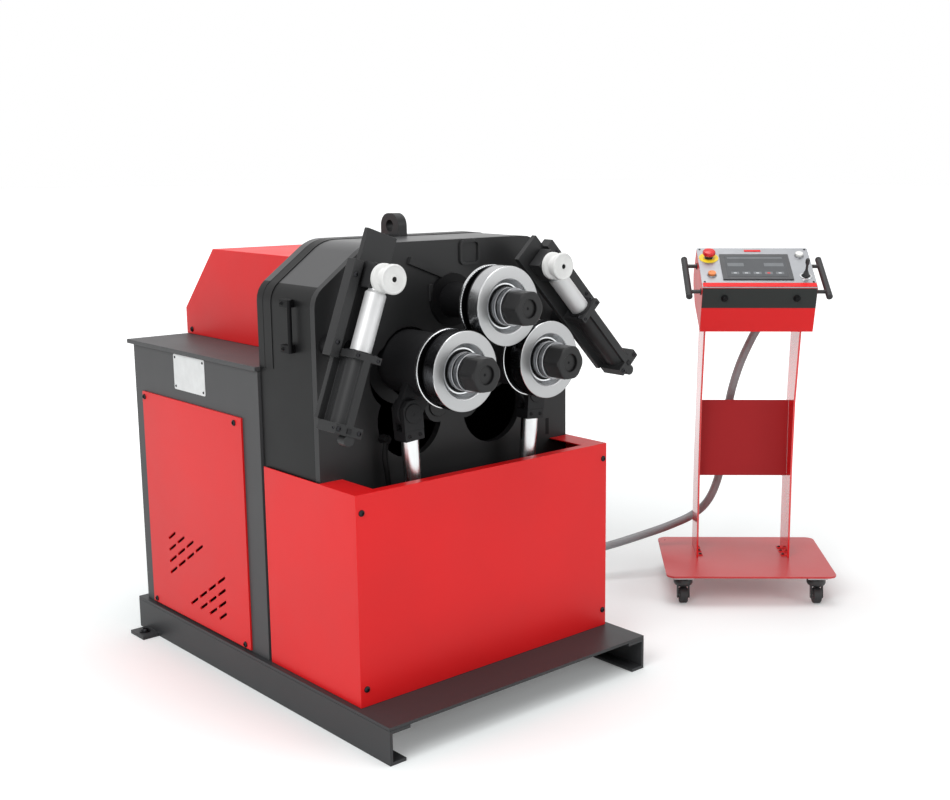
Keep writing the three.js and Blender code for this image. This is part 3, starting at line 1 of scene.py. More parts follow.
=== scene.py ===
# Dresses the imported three-roll bender and its console: pieces, materials, light and camera.
# Metres throughout. machine_at() measures from the machine's middle plane, the front end of its
# base and the floor; console_at() and panel_at() measure in the console's own frames.
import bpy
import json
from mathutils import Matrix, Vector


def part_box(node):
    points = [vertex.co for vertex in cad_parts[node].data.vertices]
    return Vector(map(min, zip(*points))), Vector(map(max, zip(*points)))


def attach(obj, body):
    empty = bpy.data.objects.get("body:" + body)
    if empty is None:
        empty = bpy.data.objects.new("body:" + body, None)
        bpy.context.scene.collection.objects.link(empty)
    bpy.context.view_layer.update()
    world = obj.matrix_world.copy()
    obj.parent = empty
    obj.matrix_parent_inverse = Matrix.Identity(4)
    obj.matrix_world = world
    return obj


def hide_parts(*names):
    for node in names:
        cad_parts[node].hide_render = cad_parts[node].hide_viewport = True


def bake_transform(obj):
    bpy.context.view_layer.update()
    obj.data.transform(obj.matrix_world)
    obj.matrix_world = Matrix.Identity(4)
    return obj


bl_info = {
    "name": "Three-roll bender",
    "version": (1, 0, 0),
    "blender": (4, 5, 0),
    "location": "View3D > Sidebar > Bender",
    "description": "Builds the visible pieces of a three-roll bender over its packed frame",
    "category": "Add Mesh",
}

import json
import math

import bmesh
import bpy
from mathutils import Matrix, Vector

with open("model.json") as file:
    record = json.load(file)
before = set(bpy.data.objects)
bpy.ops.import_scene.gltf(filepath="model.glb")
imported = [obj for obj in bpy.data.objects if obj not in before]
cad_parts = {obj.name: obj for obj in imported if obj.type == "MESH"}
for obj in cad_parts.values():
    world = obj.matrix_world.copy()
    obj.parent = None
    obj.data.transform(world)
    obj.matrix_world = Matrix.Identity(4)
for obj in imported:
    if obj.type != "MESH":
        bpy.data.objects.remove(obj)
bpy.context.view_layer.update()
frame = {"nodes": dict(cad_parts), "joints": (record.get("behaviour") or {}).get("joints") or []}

# Camera, fitted to the photograph's upright and level edges
PHOTO_WIDTH = 950
PHOTO_HEIGHT = 800
CENTRE_PIXEL = (556.2, 396.8)
FOCAL_PIXELS = 1285.44
CAMERA_PLACE = (-2.0519, -2.2716, 1.3773)
CAMERA_AZIMUTH = -43.415
CAMERA_ELEVATION = 10.418
SENSOR = 36.0

X = Vector((1, 0, 0))
Y = Vector((0, 1, 0))
Z = Vector((0, 0, 1))

# Facets round a turned piece, and the angles and distances that the mesh helpers work with
ROUND = 72
SMALL_ROUND = 24
ON_AXIS = 1e-7
MERGE_DISTANCE = 0.00001
FLAT_ANGLE = 0.5
SHARP_ANGLE = 32
PLATE_EDGE_ANGLE = 50

joints = {joint["name"]: joint for joint in frame["joints"]}
deck_low, deck_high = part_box("base_deck")
MIDDLE_X = (deck_low.x + deck_high.x) / 2
FRONT_Y = deck_low.y


def machine_at(x, y, z):
    """A point given from the machine's middle plane, base front and floor."""
    return Vector((MIDDLE_X + x, FRONT_Y + y, z))


# The console's own axes: across, away from its user, and up
ACROSS = Vector(joints["front_left_wheel_spin"]["axis"]).normalized()
AWAY = Z.cross(ACROSS).normalized()
PANEL_OUT = Vector(joints["emergency_stop_push"]["axis"]).normalized()
PANEL_UP = PANEL_OUT.cross(ACROSS).normalized()
base_low, base_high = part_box("console_base")
CONSOLE_ORIGIN = Vector(((base_low.x + base_high.x) / 2, (base_low.y + base_high.y) / 2, 0))
PANEL_FRONT = -0.207
PANEL_FRONT_HEIGHT = 1.001
PANEL_TOP = 0.0033
BOX_HALF = 0.173


def console_at(across, away, up):
    """A point in the console's frame."""
    return CONSOLE_ORIGIN + ACROSS * across + AWAY * away + Z * up


def panel_at(across, up, out=0.0):
    """A point on the sloping panel, measured up from its front edge."""
    start = console_at(across, PANEL_FRONT, PANEL_FRONT_HEIGHT)
    return start + PANEL_UP * up + PANEL_OUT * out


# Node helpers for the procedural materials

def new_material(name, color, roughness, metallic=0.0, specular=0.5):
    material = bpy.data.materials.new(name)
    material.use_nodes = True
    shader = material.node_tree.nodes["Principled BSDF"]
    shader.inputs["Base Color"].default_value = (*color, 1)
    shader.inputs["Roughness"].default_value = roughness
    shader.inputs["Metallic"].default_value = metallic
    shader.inputs["Specular IOR Level"].default_value = specular
    return material, material.node_tree, shader


def noise(tree, scale, detail=3.0, stretch=(1, 1, 1)):
    place = tree.nodes.new("ShaderNodeTexCoord")
    mapping = tree.nodes.new("ShaderNodeMapping")
    mapping.inputs["Scale"].default_value = stretch
    texture = tree.nodes.new("ShaderNodeTexNoise")
    texture.inputs["Scale"].default_value = scale
    texture.inputs["Detail"].default_value = detail
    tree.links.new(place.outputs["Object"], mapping.inputs["Vector"])
    tree.links.new(mapping.outputs["Vector"], texture.inputs["Vector"])
    return texture.outputs["Fac"]


def spread(tree, source, low, high):
    """Maps a 0 to 1 value to a range."""
    node = tree.nodes.new("ShaderNodeMapRange")
    node.inputs["To Min"].default_value = low
    node.inputs["To Max"].default_value = high
    tree.links.new(source, node.inputs["Value"])
    return node.outputs["Result"]


def tint(tree, source, dark, light, low=0.3, high=0.7):
    node = tree.nodes.new("ShaderNodeValToRGB")
    node.color_ramp.elements[0].position = low
    node.color_ramp.elements[0].color = (*dark, 1)
    node.color_ramp.elements[1].position = high
    node.color_ramp.elements[1].color = (*light, 1)
    tree.links.new(source, node.inputs["Fac"])
    return node.outputs["Color"]


def bump(tree, source, shader, strength, distance):
    node = tree.nodes.new("ShaderNodeBump")
    node.inputs["Strength"].default_value = strength
    node.inputs["Distance"].default_value = distance
    tree.links.new(source, node.inputs["Height"])
    tree.links.new(node.outputs["Normal"], shader.inputs["Normal"])


def scaled(color, factor):
    return tuple(min(1.0, channel * factor) for channel in color)


def paint(name, color, roughness, grain=900, depth=0.00012, variation=0.06, strength=0.35, specular=0.25):
    """Powder coat: fine orange peel, and soft changes of colour and gloss over the panel."""
    material, tree, shader = new_material(name, color, roughness, specular=specular)
    cloud = noise(tree, 2.3, 4)
    low, high = scaled(color, 1 - variation), scaled(color, 1 + variation)
    tree.links.new(tint(tree, cloud, low, high), shader.inputs["Base Color"])
    patch = noise(tree, 9.0, 5)
    rough = spread(tree, patch, roughness - 0.06, roughness + 0.06)
    tree.links.new(rough, shader.inputs["Roughness"])
    bump(tree, noise(tree, grain, 2), shader, strength, depth)
    return material


def metal(name, color, roughness, grain=(1, 1, 1), scale=420, strength=0.12, metallic=1.0):
    """Machined metal: fine scratches along one direction and cloudy gloss."""
    material, tree, shader = new_material(name, color, roughness, metallic)
    scratches = noise(tree, scale, 4, grain)
    rough = spread(tree, scratches, roughness * 0.75, roughness * 1.3)
    tree.links.new(rough, shader.inputs["Roughness"])
    cloud = noise(tree, 14, 3)
    tree.links.new(tint(tree, cloud, scaled(color, 0.93), scaled(color, 1.05)), shader.inputs["Base Color"])
    bump(tree, scratches, shader, strength, 0.00005)
    return material


def lathe_turned(name, color, roughness, centre, pitch=2600, strength=0.16):
    """Face-turned steel: concentric tool marks round an axis along Y through centre."""
    material, tree, shader = new_material(name, color, roughness, 1.0)
    place = tree.nodes.new("ShaderNodeTexCoord")
    shift = tree.nodes.new("ShaderNodeVectorMath")
    shift.operation = "SUBTRACT"
    shift.inputs[1].default_value = centre
    flat = tree.nodes.new("ShaderNodeVectorMath")
    flat.operation = "MULTIPLY"
    flat.inputs[1].default_value = (1, 0, 1)
    reach = tree.nodes.new("ShaderNodeVectorMath")
    reach.operation = "LENGTH"
    marks = tree.nodes.new("ShaderNodeTexNoise")
    marks.noise_dimensions = "1D"
    marks.inputs["Scale"].default_value = pitch
    marks.inputs["Detail"].default_value = 3
    tree.links.new(place.outputs["Object"], shift.inputs[0])
    tree.links.new(shift.outputs["Vector"], flat.inputs[0])
    tree.links.new(flat.outputs["Vector"], reach.inputs[0])
    tree.links.new(reach.outputs["Value"], marks.inputs["W"])
    rough = spread(tree, marks.outputs["Fac"], roughness * 0.7, roughness * 1.35)
    tree.links.new(rough, shader.inputs["Roughness"])
    bump(tree, marks.outputs["Fac"], shader, strength, 0.00006)
    return material


def plastic(name, color, roughness, grain=1500, depth=0.00006, strength=0.3):
    material, tree, shader = new_material(name, color, roughness)
    patch = noise(tree, 30, 3)
    tree.links.new(spread(tree, patch, roughness - 0.05, roughness + 0.07), shader.inputs["Roughness"])
    tree.links.new(tint(tree, patch, scaled(color, 0.94), scaled(color, 1.06)), shader.inputs["Base Color"])
    bump(tree, noise(tree, grain, 2), shader, strength, depth)
    return material


materials = {}


def make_materials(colours):
    """Fills the table of finishes from the add-on's colours."""
    def add(name, material):
        materials[name] = material

    add("red", paint("red_powder_coat", colours.red, 0.4, specular=0.3))
    # Darker red for the console's shelf: painted shade.
    add("dark_red", paint("shelf_red_coat_painted_shade", colours.dark_red, 0.5, specular=0.2))
    add("column", paint("glossy_column_red", colours.red, 0.14, variation=0.03, strength=0.1, specular=1.0))
    add("base_red", paint("console_base_red", colours.base_red, 0.3, specular=0.4))
    add("grey", paint("dark_grey_powder_coat", colours.grey, 0.5, grain=650, strength=0.5, specular=0.25))
    add("rail", paint("rail_grey_powder_coat", colours.rail, 0.42, grain=650, strength=0.5, specular=0.25))
    add("black", paint("black_satin_paint", colours.black, 0.4, grain=500, strength=0.25, specular=0.2))
    # Two copies of the satin black for the head's shell: a darker one as painted shade on its sides, a
    # lighter one as painted sheen on its top.
    painted_shade, painted_sheen = scaled(colours.black, 0.32), scaled(colours.black, 1.75)
    add("shell", paint("black_paint_painted_shade", painted_shade, 0.42, grain=500, strength=0.25, specular=0.15))
    add("painted_sheen_black", paint("black_paint_painted_sheen", painted_sheen, 0.34, grain=500, strength=0.2, specular=0.4))
    rough_cast = {"grain": 260, "strength": 0.6, "depth": 0.0003, "specular": 0.15}
    add("cast", paint("black_cast_paint", colours.cast, 0.48, **rough_cast))
    # The darkest black: the own black of small parts such as the knobs and the pipe, and painted shade in the
    # roll recesses, the nut sockets and collar grooves, the head's slots and on the bosses behind the rolls.
    add("deep", paint("darkest_black_paint_and_painted_shade", scaled(colours.cast, 0.5), 0.5, specular=0.1))
    # Black for the rolls' spacers, which also paints the dark back of each front ring's flank as painted
    # reflection.
    add("oxide_black_and_painted_reflection", metal("black_oxide_steel_and_painted_reflection", (0.03, 0.03, 0.033), 0.34, (1, 0.1, 1)))
    add("nut", paint("blackened_nut", (0.011, 0.011, 0.0115), 0.42, grain=420, specular=0.25))
    add("steel", metal("machined_steel", (0.3, 0.305, 0.315), 0.3, (1, 0.08, 1)))
    add("bolt", metal("blackened_bolt", (0.03, 0.03, 0.033), 0.4))
    # Light grey for a thin strip along the head plate's top front edge: a painted highlight.
    add("worn", paint("painted_edge_highlight_grey", (0.3, 0.3, 0.31), 0.35, variation=0.3, specular=0.4))
    add("satin", metal("satin_rod", (0.6, 0.602, 0.606), 0.44, (1, 1, 0.06), 300, 0.05, 0.35))
    add("chrome", metal("hard_chrome", (0.62, 0.625, 0.63), 0.24, (1, 1, 0.06), 300, 0.05))
    # Bright steel: the joystick's bezel, and painted highlights on the rolls' chamfers and back rings.
    add("edge", metal("bright_steel_and_painted_ring_highlight", (0.72, 0.73, 0.74), 0.2))
    # Two copies of the rolls' polished flank, a lighter one for the top roll and a darker one for the lower
    # rolls, as painted reflection.
    add("flank", metal("ring_flank_painted_light_reflection", (0.5, 0.505, 0.515), 0.24, (1, 0.05, 1), 500))
    add("flank_painted_dark_reflection", metal("ring_flank_painted_dark_reflection", (0.13, 0.132, 0.14), 0.24, (1, 0.05, 1), 500))
    add("white", plastic("white_nylon", colours.white, 0.38))
    add("fascia", metal("grey_fascia", colours.fascia, 0.36, (0.2, 1, 1), 700))
    add("screen", plastic("screen_glass", (0.06, 0.064, 0.07), 0.12, strength=0.02))
    add("bezel", plastic("screen_bezel", (0.05, 0.052, 0.056), 0.3))
    add("tile", plastic("screen_tile", (0.14, 0.15, 0.16), 0.2, strength=0.02))
    add("tile_light", plastic("screen_tile_light", (0.45, 0.47, 0.49), 0.2, strength=0.02))
    add("strip", paint("dark_front_strip", (0.024, 0.027, 0.026), 0.45, specular=0.2))
    add("stop", plastic("stop_red", (0.62, 0.008, 0.012), 0.25))
    add("yellow", plastic("stop_yellow", (0.85, 0.62, 0.02), 0.35))
    add("orange", plastic("start_orange", (0.72, 0.22, 0.06), 0.28))
    add("lamp", plastic("lamp_white", (0.8, 0.8, 0.77), 0.25))
    add("rubber", plastic("black_rubber", (0.012, 0.012, 0.013), 0.6, grain=500, depth=0.0003))
    add("moulded", plastic("black_moulded", (0.016, 0.016, 0.017), 0.45))
    add("pale", plastic("pale_block", (0.62, 0.62, 0.63), 0.45))
    add("plate", plastic("bare_rating_plate", (0.7, 0.71, 0.71), 0.35))
    add("conduit", plastic("conduit_sheath", (0.27, 0.29, 0.3), 0.42, grain=500, depth=0.00015))


# Mesh helpers

def make_piece(name, bm, body, finishes, stands_for=(), angle=35):
    """Turns a bmesh into a named piece that rides on a body."""
    mesh = bpy.data.meshes.new(name)
    bmesh.ops.recalc_face_normals(bm, faces=bm.faces)
    bm.to_mesh(mesh)
    bm.free()
    piece = bpy.data.objects.new(name, mesh)
    bpy.context.scene.collection.objects.link(piece)
    for finish in [finishes] if isinstance(finishes, str) else finishes:
        mesh.materials.append(materials[finish])
    mesh.shade_smooth()
    mesh.set_sharp_from_angle(angle=math.radians(angle))
    level = piece.modifiers.new("level_normals", "WEIGHTED_NORMAL")
    level.keep_sharp = True
    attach(piece, body)
    if stands_for:
        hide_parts(*([stands_for] if isinstance(stands_for, str) else stands_for))
    return piece


def basis(axis):
    """Two directions square to an axis."""
    axis = axis.normalized()
    first = axis.orthogonal().normalized() if abs(axis.z) > 0.99 else Z.cross(axis).normalized()
    return first, axis.cross(first).normalized()


def turn(bm, profile, centre, axis, sides=ROUND):
    """Adds a surface of revolution. The profile lists (along, radius, finish index)."""
    first, second = basis(axis)
    axis = axis.normalized()
    rings = []
    for along, radius, *_ in profile:
        if radius < ON_AXIS:
            rings.append([bm.verts.new(centre + axis * along)])
            continue
        ring = []
        for k in range(sides):
            angle = 2 * math.pi * k / sides
            out = first * math.cos(angle) + second * math.sin(angle)
            ring.append(bm.verts.new(centre + axis * along + out * radius))
        rings.append(ring)
    for place, (low, high) in enumerate(zip(rings, rings[1:])):
        finish = profile[place][2] if len(profile[place]) > 2 else 0
        for k in range(sides):
            steps = ((low, k), (low, k + 1), (high, k + 1), (high, k))
            corners = list(dict.fromkeys(ring[step % len(ring)] for ring, step in steps))
            if len(corners) > 2:
                bm.faces.new(corners).material_index = finish
    return rings


def close_turn(bm, rings, sides=ROUND, finish=0):
    """Joins the last ring of a turned body to its first."""
    low, high = rings[-1], rings[0]
    for k in range(sides):
        corners = [low[k], low[(k + 1) % sides], high[(k + 1) % sides], high[k]]
        bm.faces.new(corners).material_index = finish


def turn_ring(bm, profile, centre, axis, sides=ROUND, finish=0):
    """Adds a ring whose section is closed."""
    close_turn(bm, turn(bm, profile, centre, axis, sides), sides, finish)


def add_block(bm, centre, size, axes=(X, Y, Z), soft=0.001, finish=0):
    """Adds a block with eased edges."""
    matrix = Matrix.Identity(4)
    for column, (axis, length) in enumerate(zip(axes, size)):
        for row in range(3):
            matrix[row][column] = axis[row] * length
    matrix.translation = centre
    before = set(bm.faces)
    made = bmesh.ops.create_cube(bm, size=1.0, matrix=matrix)
    if soft:
        edges = list({edge for vert in made["verts"] for edge in vert.link_edges})
        bmesh.ops.bevel(bm, geom=edges, offset=soft, segments=2, profile=0.5, affect="EDGES")
    for face in bm.faces:
        if face not in before:
            face.material_index = finish


def add_prism(bm, outline, thickness, centre, right, up, finish=0, soft=0.0, holes=()):
    """Adds a plate: a flat outline in two directions, thickened along their cross product."""
    out = right.cross(up).normalized()
    before = set(bm.faces)
    loops = [outline, *holes]
    edges = []
    for loop in loops:
        verts = [bm.verts.new(centre + right * a + up * b) for a, b in loop]
        edges += [bm.edges.new((verts[k], verts[(k + 1) % len(verts)])) for k in range(len(verts))]
    if holes:
        filled = bmesh.ops.triangle_fill(bm, use_beauty=True, use_dissolve=True, edges=edges)
        flat = [item for item in filled["geom"] if isinstance(item, bmesh.types.BMFace)]
    else:
        flat = [bm.faces.new([edge.verts[0] for edge in edges])]
    raised = bmesh.ops.extrude_face_region(bm, geom=flat)
    moved = [item for item in raised["geom"] if isinstance(item, bmesh.types.BMVert)]
    bmesh.ops.translate(bm, verts=moved, vec=out * thickness)
    made = [face for face in bm.faces if face not in before]
    if soft:
        rim = {edge for face in made for edge in face.edges if len(edge.link_faces) == 2}
        rim = [edge for edge in rim if edge.calc_face_angle(0) > math.radians(PLATE_EDGE_ANGLE)]
        eased = bmesh.ops.bevel(bm, geom=rim, offset=soft, segments=2, profile=0.5, affect="EDGES")
        made = [face for face in made if face.is_valid] + list(eased["faces"])
    for face in made:
        if face.is_valid:
            face.material_index = finish


def circle(a, b, radius, sides=SMALL_ROUND, start=0.0, sweep=2 * math.pi):
    """Points round a circle, or along an arc of it with both ends."""
    count = sides if sweep == 2 * math.pi else sides + 1
    step = sweep / sides
    return [
        (a + radius * math.cos(start + step * k), b + radius * math.sin(start + step * k))
        for k in range(count)
    ]


def rounded_loop(width, height, corner, sides=6):
    """Rounded rectangle about the origin."""
    a, b = width / 2 - corner, height / 2 - corner
    points = []
    for quarter, (x, z) in enumerate(((a, b), (-a, b), (-a, -b), (a, -b))):
        points += circle(x, z, corner, sides, quarter * math.pi / 2, math.pi / 2)
    return points


def add_rod(bm, start, end, radius, sides=SMALL_ROUND, finish=0, soft=0.001):
    """Adds a round bar with eased ends."""
    length = (end - start).length
    profile = [
        (0, 0, finish), (0, radius - soft, finish), (soft, radius, finish),
        (length - soft, radius, finish), (length, radius - soft, finish), (length, 0, finish),
    ]
    turn(bm, profile, start, end - start, sides)


def add_screw(bm, centre, out, radius, finish=0):
    """Button-head socket screw on a surface that faces out."""
    height = radius * 0.55
    socket = radius * 0.45
    profile = [
        (0, radius, finish), (height * 0.45, radius * 0.96, finish),
        (height * 0.85, radius * 0.72, finish), (height, socket * 1.15, finish),
        (height * 0.35, socket, finish), (height * 0.35, 0, finish),
    ]
    turn(bm, profile, centre, out, SMALL_ROUND)


def softened(node, finish, body, width=0.001, steps=2, pick=None):
    """A copy of a CAD solid with its sharp edges eased, which stands for it."""
    bm = bmesh.new()
    bm.from_mesh(frame["nodes"][node].data)
    bmesh.ops.remove_doubles(bm, verts=bm.verts, dist=MERGE_DISTANCE)
    bmesh.ops.dissolve_limit(bm, angle_limit=math.radians(FLAT_ANGLE), verts=bm.verts, edges=bm.edges)
    limit = math.radians(SHARP_ANGLE)
    sharp = [edge for edge in bm.edges if edge.is_manifold and edge.calc_face_angle(0) > limit]
    bmesh.ops.bevel(
        bm, geom=sharp, offset=width, segments=steps, profile=0.5, affect="EDGES", clamp_overlap=True,
    )
    for face in bm.faces:
        face.material_index = pick(face.calc_center_median()) if pick else 0
    return make_piece(f"{node}_visual", bm, body, finish, node)


# The camera and the conduit come first

def build_camera():
    data = bpy.data.cameras.new("photo_camera")
    camera = bpy.data.objects.new("photo_camera", data)
    bpy.context.scene.collection.objects.link(camera)
    azimuth = math.radians(CAMERA_AZIMUTH)
    elevation = math.radians(CAMERA_ELEVATION)
    back = Vector((
        math.sin(azimuth) * math.cos(elevation),
        -math.cos(azimuth) * math.cos(elevation),
        math.sin(elevation),
    ))
    right = Vector((math.cos(azimuth), math.sin(azimuth), 0))
    up = back.cross(right)
    turned = Matrix((right, up, back)).transposed().to_4x4()
    turned.translation = machine_at(*CAMERA_PLACE)
    camera.matrix_world = turned
    data.sensor_width = SENSOR
    data.lens = FOCAL_PIXELS * SENSOR / PHOTO_WIDTH
    data.shift_x = (PHOTO_WIDTH / 2 - CENTRE_PIXEL[0]) / PHOTO_WIDTH
    data.shift_y = (CENTRE_PIXEL[1] - PHOTO_HEIGHT / 2) / PHOTO_WIDTH
    data.clip_end = 100
    bpy.context.scene.camera = camera


CONDUIT_DIAMETER = 0.027
CONDUIT_ROUTE = [
    (0.4526, 0.7, 0.15), (0.482, 0.7, 0.15), (0.52, 0.7, 0.146), (0.575, 0.698, 0.13),
    (0.66, 0.69, 0.108), (0.78, 0.668, 0.095), (0.917, 0.621, 0.108), (1.046, 0.552, 0.142),
    (1.11, 0.51, 0.166), (1.179, 0.471, 0.197), (1.208, 0.432, 0.246), (1.223, 0.4, 0.332),
    (1.229, 0.382, 0.462), (1.228, 0.364, 0.6), (1.219, 0.318, 0.724), (1.219, 0.268, 0.822),
    (1.2173, 0.2464, 0.8552), (1.2117, 0.2406, 0.8761),
]


def between(low, high, start, end, now):
    """The point at a moment between two points that are passed at start and end."""
    return low * ((end - now) / (end - start)) + high * ((now - start) / (end - start))


def smooth_route(points, steps=6):
    """Centripetal Catmull-Rom curve through the points."""
    ends = [points[0] * 2 - points[1], *points, points[-1] * 2 - points[-2]]
    route = []
    for k in range(1, len(ends) - 2):
        p = ends[k - 1:k + 3]
        t = [0.0]
        for a, b in zip(p, p[1:]):
            t.append(t[-1] + max((b - a).length, 1e-9) ** 0.5)
        for step in range(steps):
            s = t[1] + (t[2] - t[1]) * step / steps
            a = [between(p[i], p[i + 1], t[i], t[i + 1], s) for i in range(3)]
            b = [between(a[i], a[i + 1], t[i], t[i + 2], s) for i in range(2)]
            route.append(between(b[0], b[1], t[1], t[2], s))
    route.append(ends[-2])
    return route


def add_tube(bm, route, radius, sides=SMALL_ROUND, finish=0):
    """Sweeps a circle along a route with a steady frame, and closes both ends."""
    heading = (route[1] - route[0]).normalized()
    side = heading.orthogonal().normalized()
    rings = []
    for k, point in enumerate(route):
        ahead = (route[min(k + 1, len(route) - 1)] - route[max(k - 1, 0)]).normalized()
        side = (side - ahead * side.dot(ahead)).normalized()
        other = ahead.cross(side)
        rings.append([
            bm.verts.new(point + (side * math.cos(turned) + other * math.sin(turned)) * radius)
            for turned in (2 * math.pi * step / sides for step in range(sides))
        ])
    for low, high in zip(rings, rings[1:]):
        for k in range(sides):
            corners = [low[k], low[(k + 1) % sides], high[(k + 1) % sides], high[k]]
            bm.faces.new(corners).material_index = finish
    for ring in (rings[0], rings[-1]):
        bm.faces.new(ring).material_index = finish


def build_conduit():
    route = smooth_route([machine_at(*point) for point in CONDUIT_ROUTE])
    bm = bmesh.new()
    add_tube(bm, route, CONDUIT_DIAMETER / 2, 20)
    mesh = bpy.data.meshes.new("conduit_sheath")
    bmesh.ops.recalc_face_normals(bm, faces=bm.faces)
    bm.to_mesh(mesh)
    bm.free()
    mesh.materials.append(materials["conduit"])
    mesh.shade_smooth()
    conduit = bpy.data.objects.new("conduit_sheath", mesh)
    bpy.context.scene.collection.objects.link(conduit)
    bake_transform(conduit)
    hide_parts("conduit")


# Base

RAIL_EDGE = 0.0012
ANCHOR = (0.454, 1.184, 0.0102)
ANCHOR_HEAD = 0.011
WASHER = (0.0155, 0.003)


def build_base():
    softened("left_base_rail", "rail", "machine", RAIL_EDGE)
    softened("right_base_rail", "rail", "machine", RAIL_EDGE)
    softened("base_deck", "rail", "machine")
    bm = bmesh.new()
    radius, height = WASHER
    for side in (-1, 1):
        centre = machine_at(side * ANCHOR[0], *ANCHOR[1:])
        add_screw(bm, centre + Z * height, Z, ANCHOR_HEAD)
        turn(bm, [(0, radius), (height, radius), (height, 0)], centre, Z, SMALL_ROUND)
    make_piece("anchor_bolts", bm, "machine", "bolt")


# Sheet metal covers

GUARD_FRONT = 0.134
GUARD_SCREWS = [(-0.398, 0.572), (-0.396, 0.138), (0.401, 0.574), (0.402, 0.140)]
VENT_SCREWS = [(1.170, 0.712), (0.667, 0.710), (1.162, 0.110), (0.658, 0.109)]
PLATE_RANGE_Y = (0.819, 0.990)
PLATE_RANGE_Z = (0.758, 0.856)
COVER_X = 0.414
HOOD_SCREW = (-0.232, 1.224, 0.885)
PANEL_FACE_X = COVER_X + 0.0053
CABINET_TOP_EDGE = 0.002
PLATE_THICKNESS = 0.0012
RIVET_INSET = 0.009
RIVET_RADIUS = 0.0035


def build_covers(sizes):
    softened("front_guard", "red", "machine", sizes.sheet_edge)
    softened("vent_panel", "red", "machine", sizes.sheet_edge * 0.75, 1)
    softened("drive_hood", "red", "machine", sizes.sheet_edge * 2)
    softened("cabinet_shell", "grey", "machine", sizes.sheet_edge)
    softened("cabinet_top", "grey", "machine", CABINET_TOP_EDGE)
    radius = sizes.cover_screw / 2
    bm = bmesh.new()
    for x, z in GUARD_SCREWS:
        add_screw(bm, machine_at(x, GUARD_FRONT, z), -Y, radius)
    for y, z in VENT_SCREWS:
        add_screw(bm, machine_at(-PANEL_FACE_X, y, z), -X, radius)
    add_screw(bm, machine_at(*HOOD_SCREW), -X, radius)
    make_piece("cover_screws", bm, "machine", "bolt")
    build_rating_plate(sizes.plate_corner)


def build_rating_plate(corner):
    """The bare plate with its four rivets on the cabinet's side."""
    bm = bmesh.new()
    low_y, high_y = PLATE_RANGE_Y
    low_z, high_z = PLATE_RANGE_Z
    middle = machine_at(-COVER_X, (low_y + high_y) / 2, (low_z + high_z) / 2)
    outline = rounded_loop(high_y - low_y, high_z - low_z, corner)
    add_prism(bm, outline, -PLATE_THICKNESS, middle, Y, Z)
    for y in (low_y + RIVET_INSET, high_y - RIVET_INSET):
        for z in (low_z + RIVET_INSET, high_z - RIVET_INSET):
            add_screw(bm, machine_at(0.0001 - COVER_X - PLATE_THICKNESS, y, z), -X, RIVET_RADIUS, 1)
    make_piece("rating_plate", bm, "machine", ["plate", "bolt"])


# Head

HEAD_HALF = 0.407
HEAD_TOP = 1.181
HEAD_FRONT = 0.289
RIM_FRONT = 0.517
BAND_WIDTH = 0.036
CHAMFER_WIDTH = {"left": 0.155, "right": 0.122}
CHAMFER_HEIGHT = 0.116
CORNER_RADII = (0.060, 0.100)
CORNER_STEPS = 4
# How far down from the head's top the painted sheen reaches.
PAINTED_SHEEN_DEPTH = 0.09
BOSSES = [(0, 1.029), (-0.373, 0.948), (0.373, 0.948)]
BOSS_REACH = 0.070
BAND_PROUD = 0.0014
BAND_SINK = 0.0005
BAND_GAP = 0.002
PIPE_ROUTE = [
    (-0.225, 0.270, 0.700), (-0.236, 0.262, 0.660), (-0.232, 0.258, 0.610), (-0.222, 0.262, 0.540),
]
PIPE_RADIUS = 0.007
PIPE_NUT = (0.012, 0.2885, 0.262)
POCKET = (0.0625, 1.1465)
POCKET_OUTER = (0.066, 0.064, 0.014)
POCKET_INNER = (0.053, 0.051, 0.008)
POCKET_PROUD = 0.006
LUG = (-0.065, 1.051)
LUG_SIZE = (0.012, 0.006, 0.042)
ARM_PIVOT = (0.045, 0.760)
PIVOT_CAP = [(0, 0.030), (0.004, 0.029), (0.005, 0.027), (0.005, 0)]
SLOTS = [(0.316, 0.682, 0.700), (0.336, 0.628, 0.674), (0.300, 0.700, 0.712)]
SLOT_SIZE = (0.011, 0.0012)
EDGE_HIGHLIGHT_X = -0.060
EDGE_HIGHLIGHT_SIZE = (0.300, 0.0022, 0.0024)


def corner_arc(before, corner, after, radius):
    """Points round one corner of the head's outline."""
    corner = Vector(corner)
    back = (Vector(before) - corner).normalized()
    ahead = (Vector(after) - corner).normalized()
    half = math.acos(back.dot(ahead)) / 2
    centre = corner + (back + ahead).normalized() * radius / math.sin(half)
    start = corner + back * radius / math.tan(half)
    end = corner + ahead * radius / math.tan(half)
    points = []
    for step in range(CORNER_STEPS + 1):
        spoke = start.lerp(end, step / CORNER_STEPS) - centre
        points.append(tuple(centre + spoke.normalized() * radius))
    return points


def head_outline(grow, low):
    """Open outline of the head from its right foot over the top to its left foot."""
    half, top = HEAD_HALF + grow, HEAD_TOP + grow
    flanks = {}
    for side, width in CHAMFER_WIDTH.items():
        shoulder, crown = (half, top - CHAMFER_HEIGHT), (half - width, top)
        flanks[side] = [
            (half, low),
            *corner_arc((half, low), shoulder, crown, CORNER_RADII[0]),
            *corner_arc(shoulder, crown, (0, top), CORNER_RADII[1]),
        ]
    return flanks["right"] + [(-x, z) for x, z in reversed(flanks["left"])]


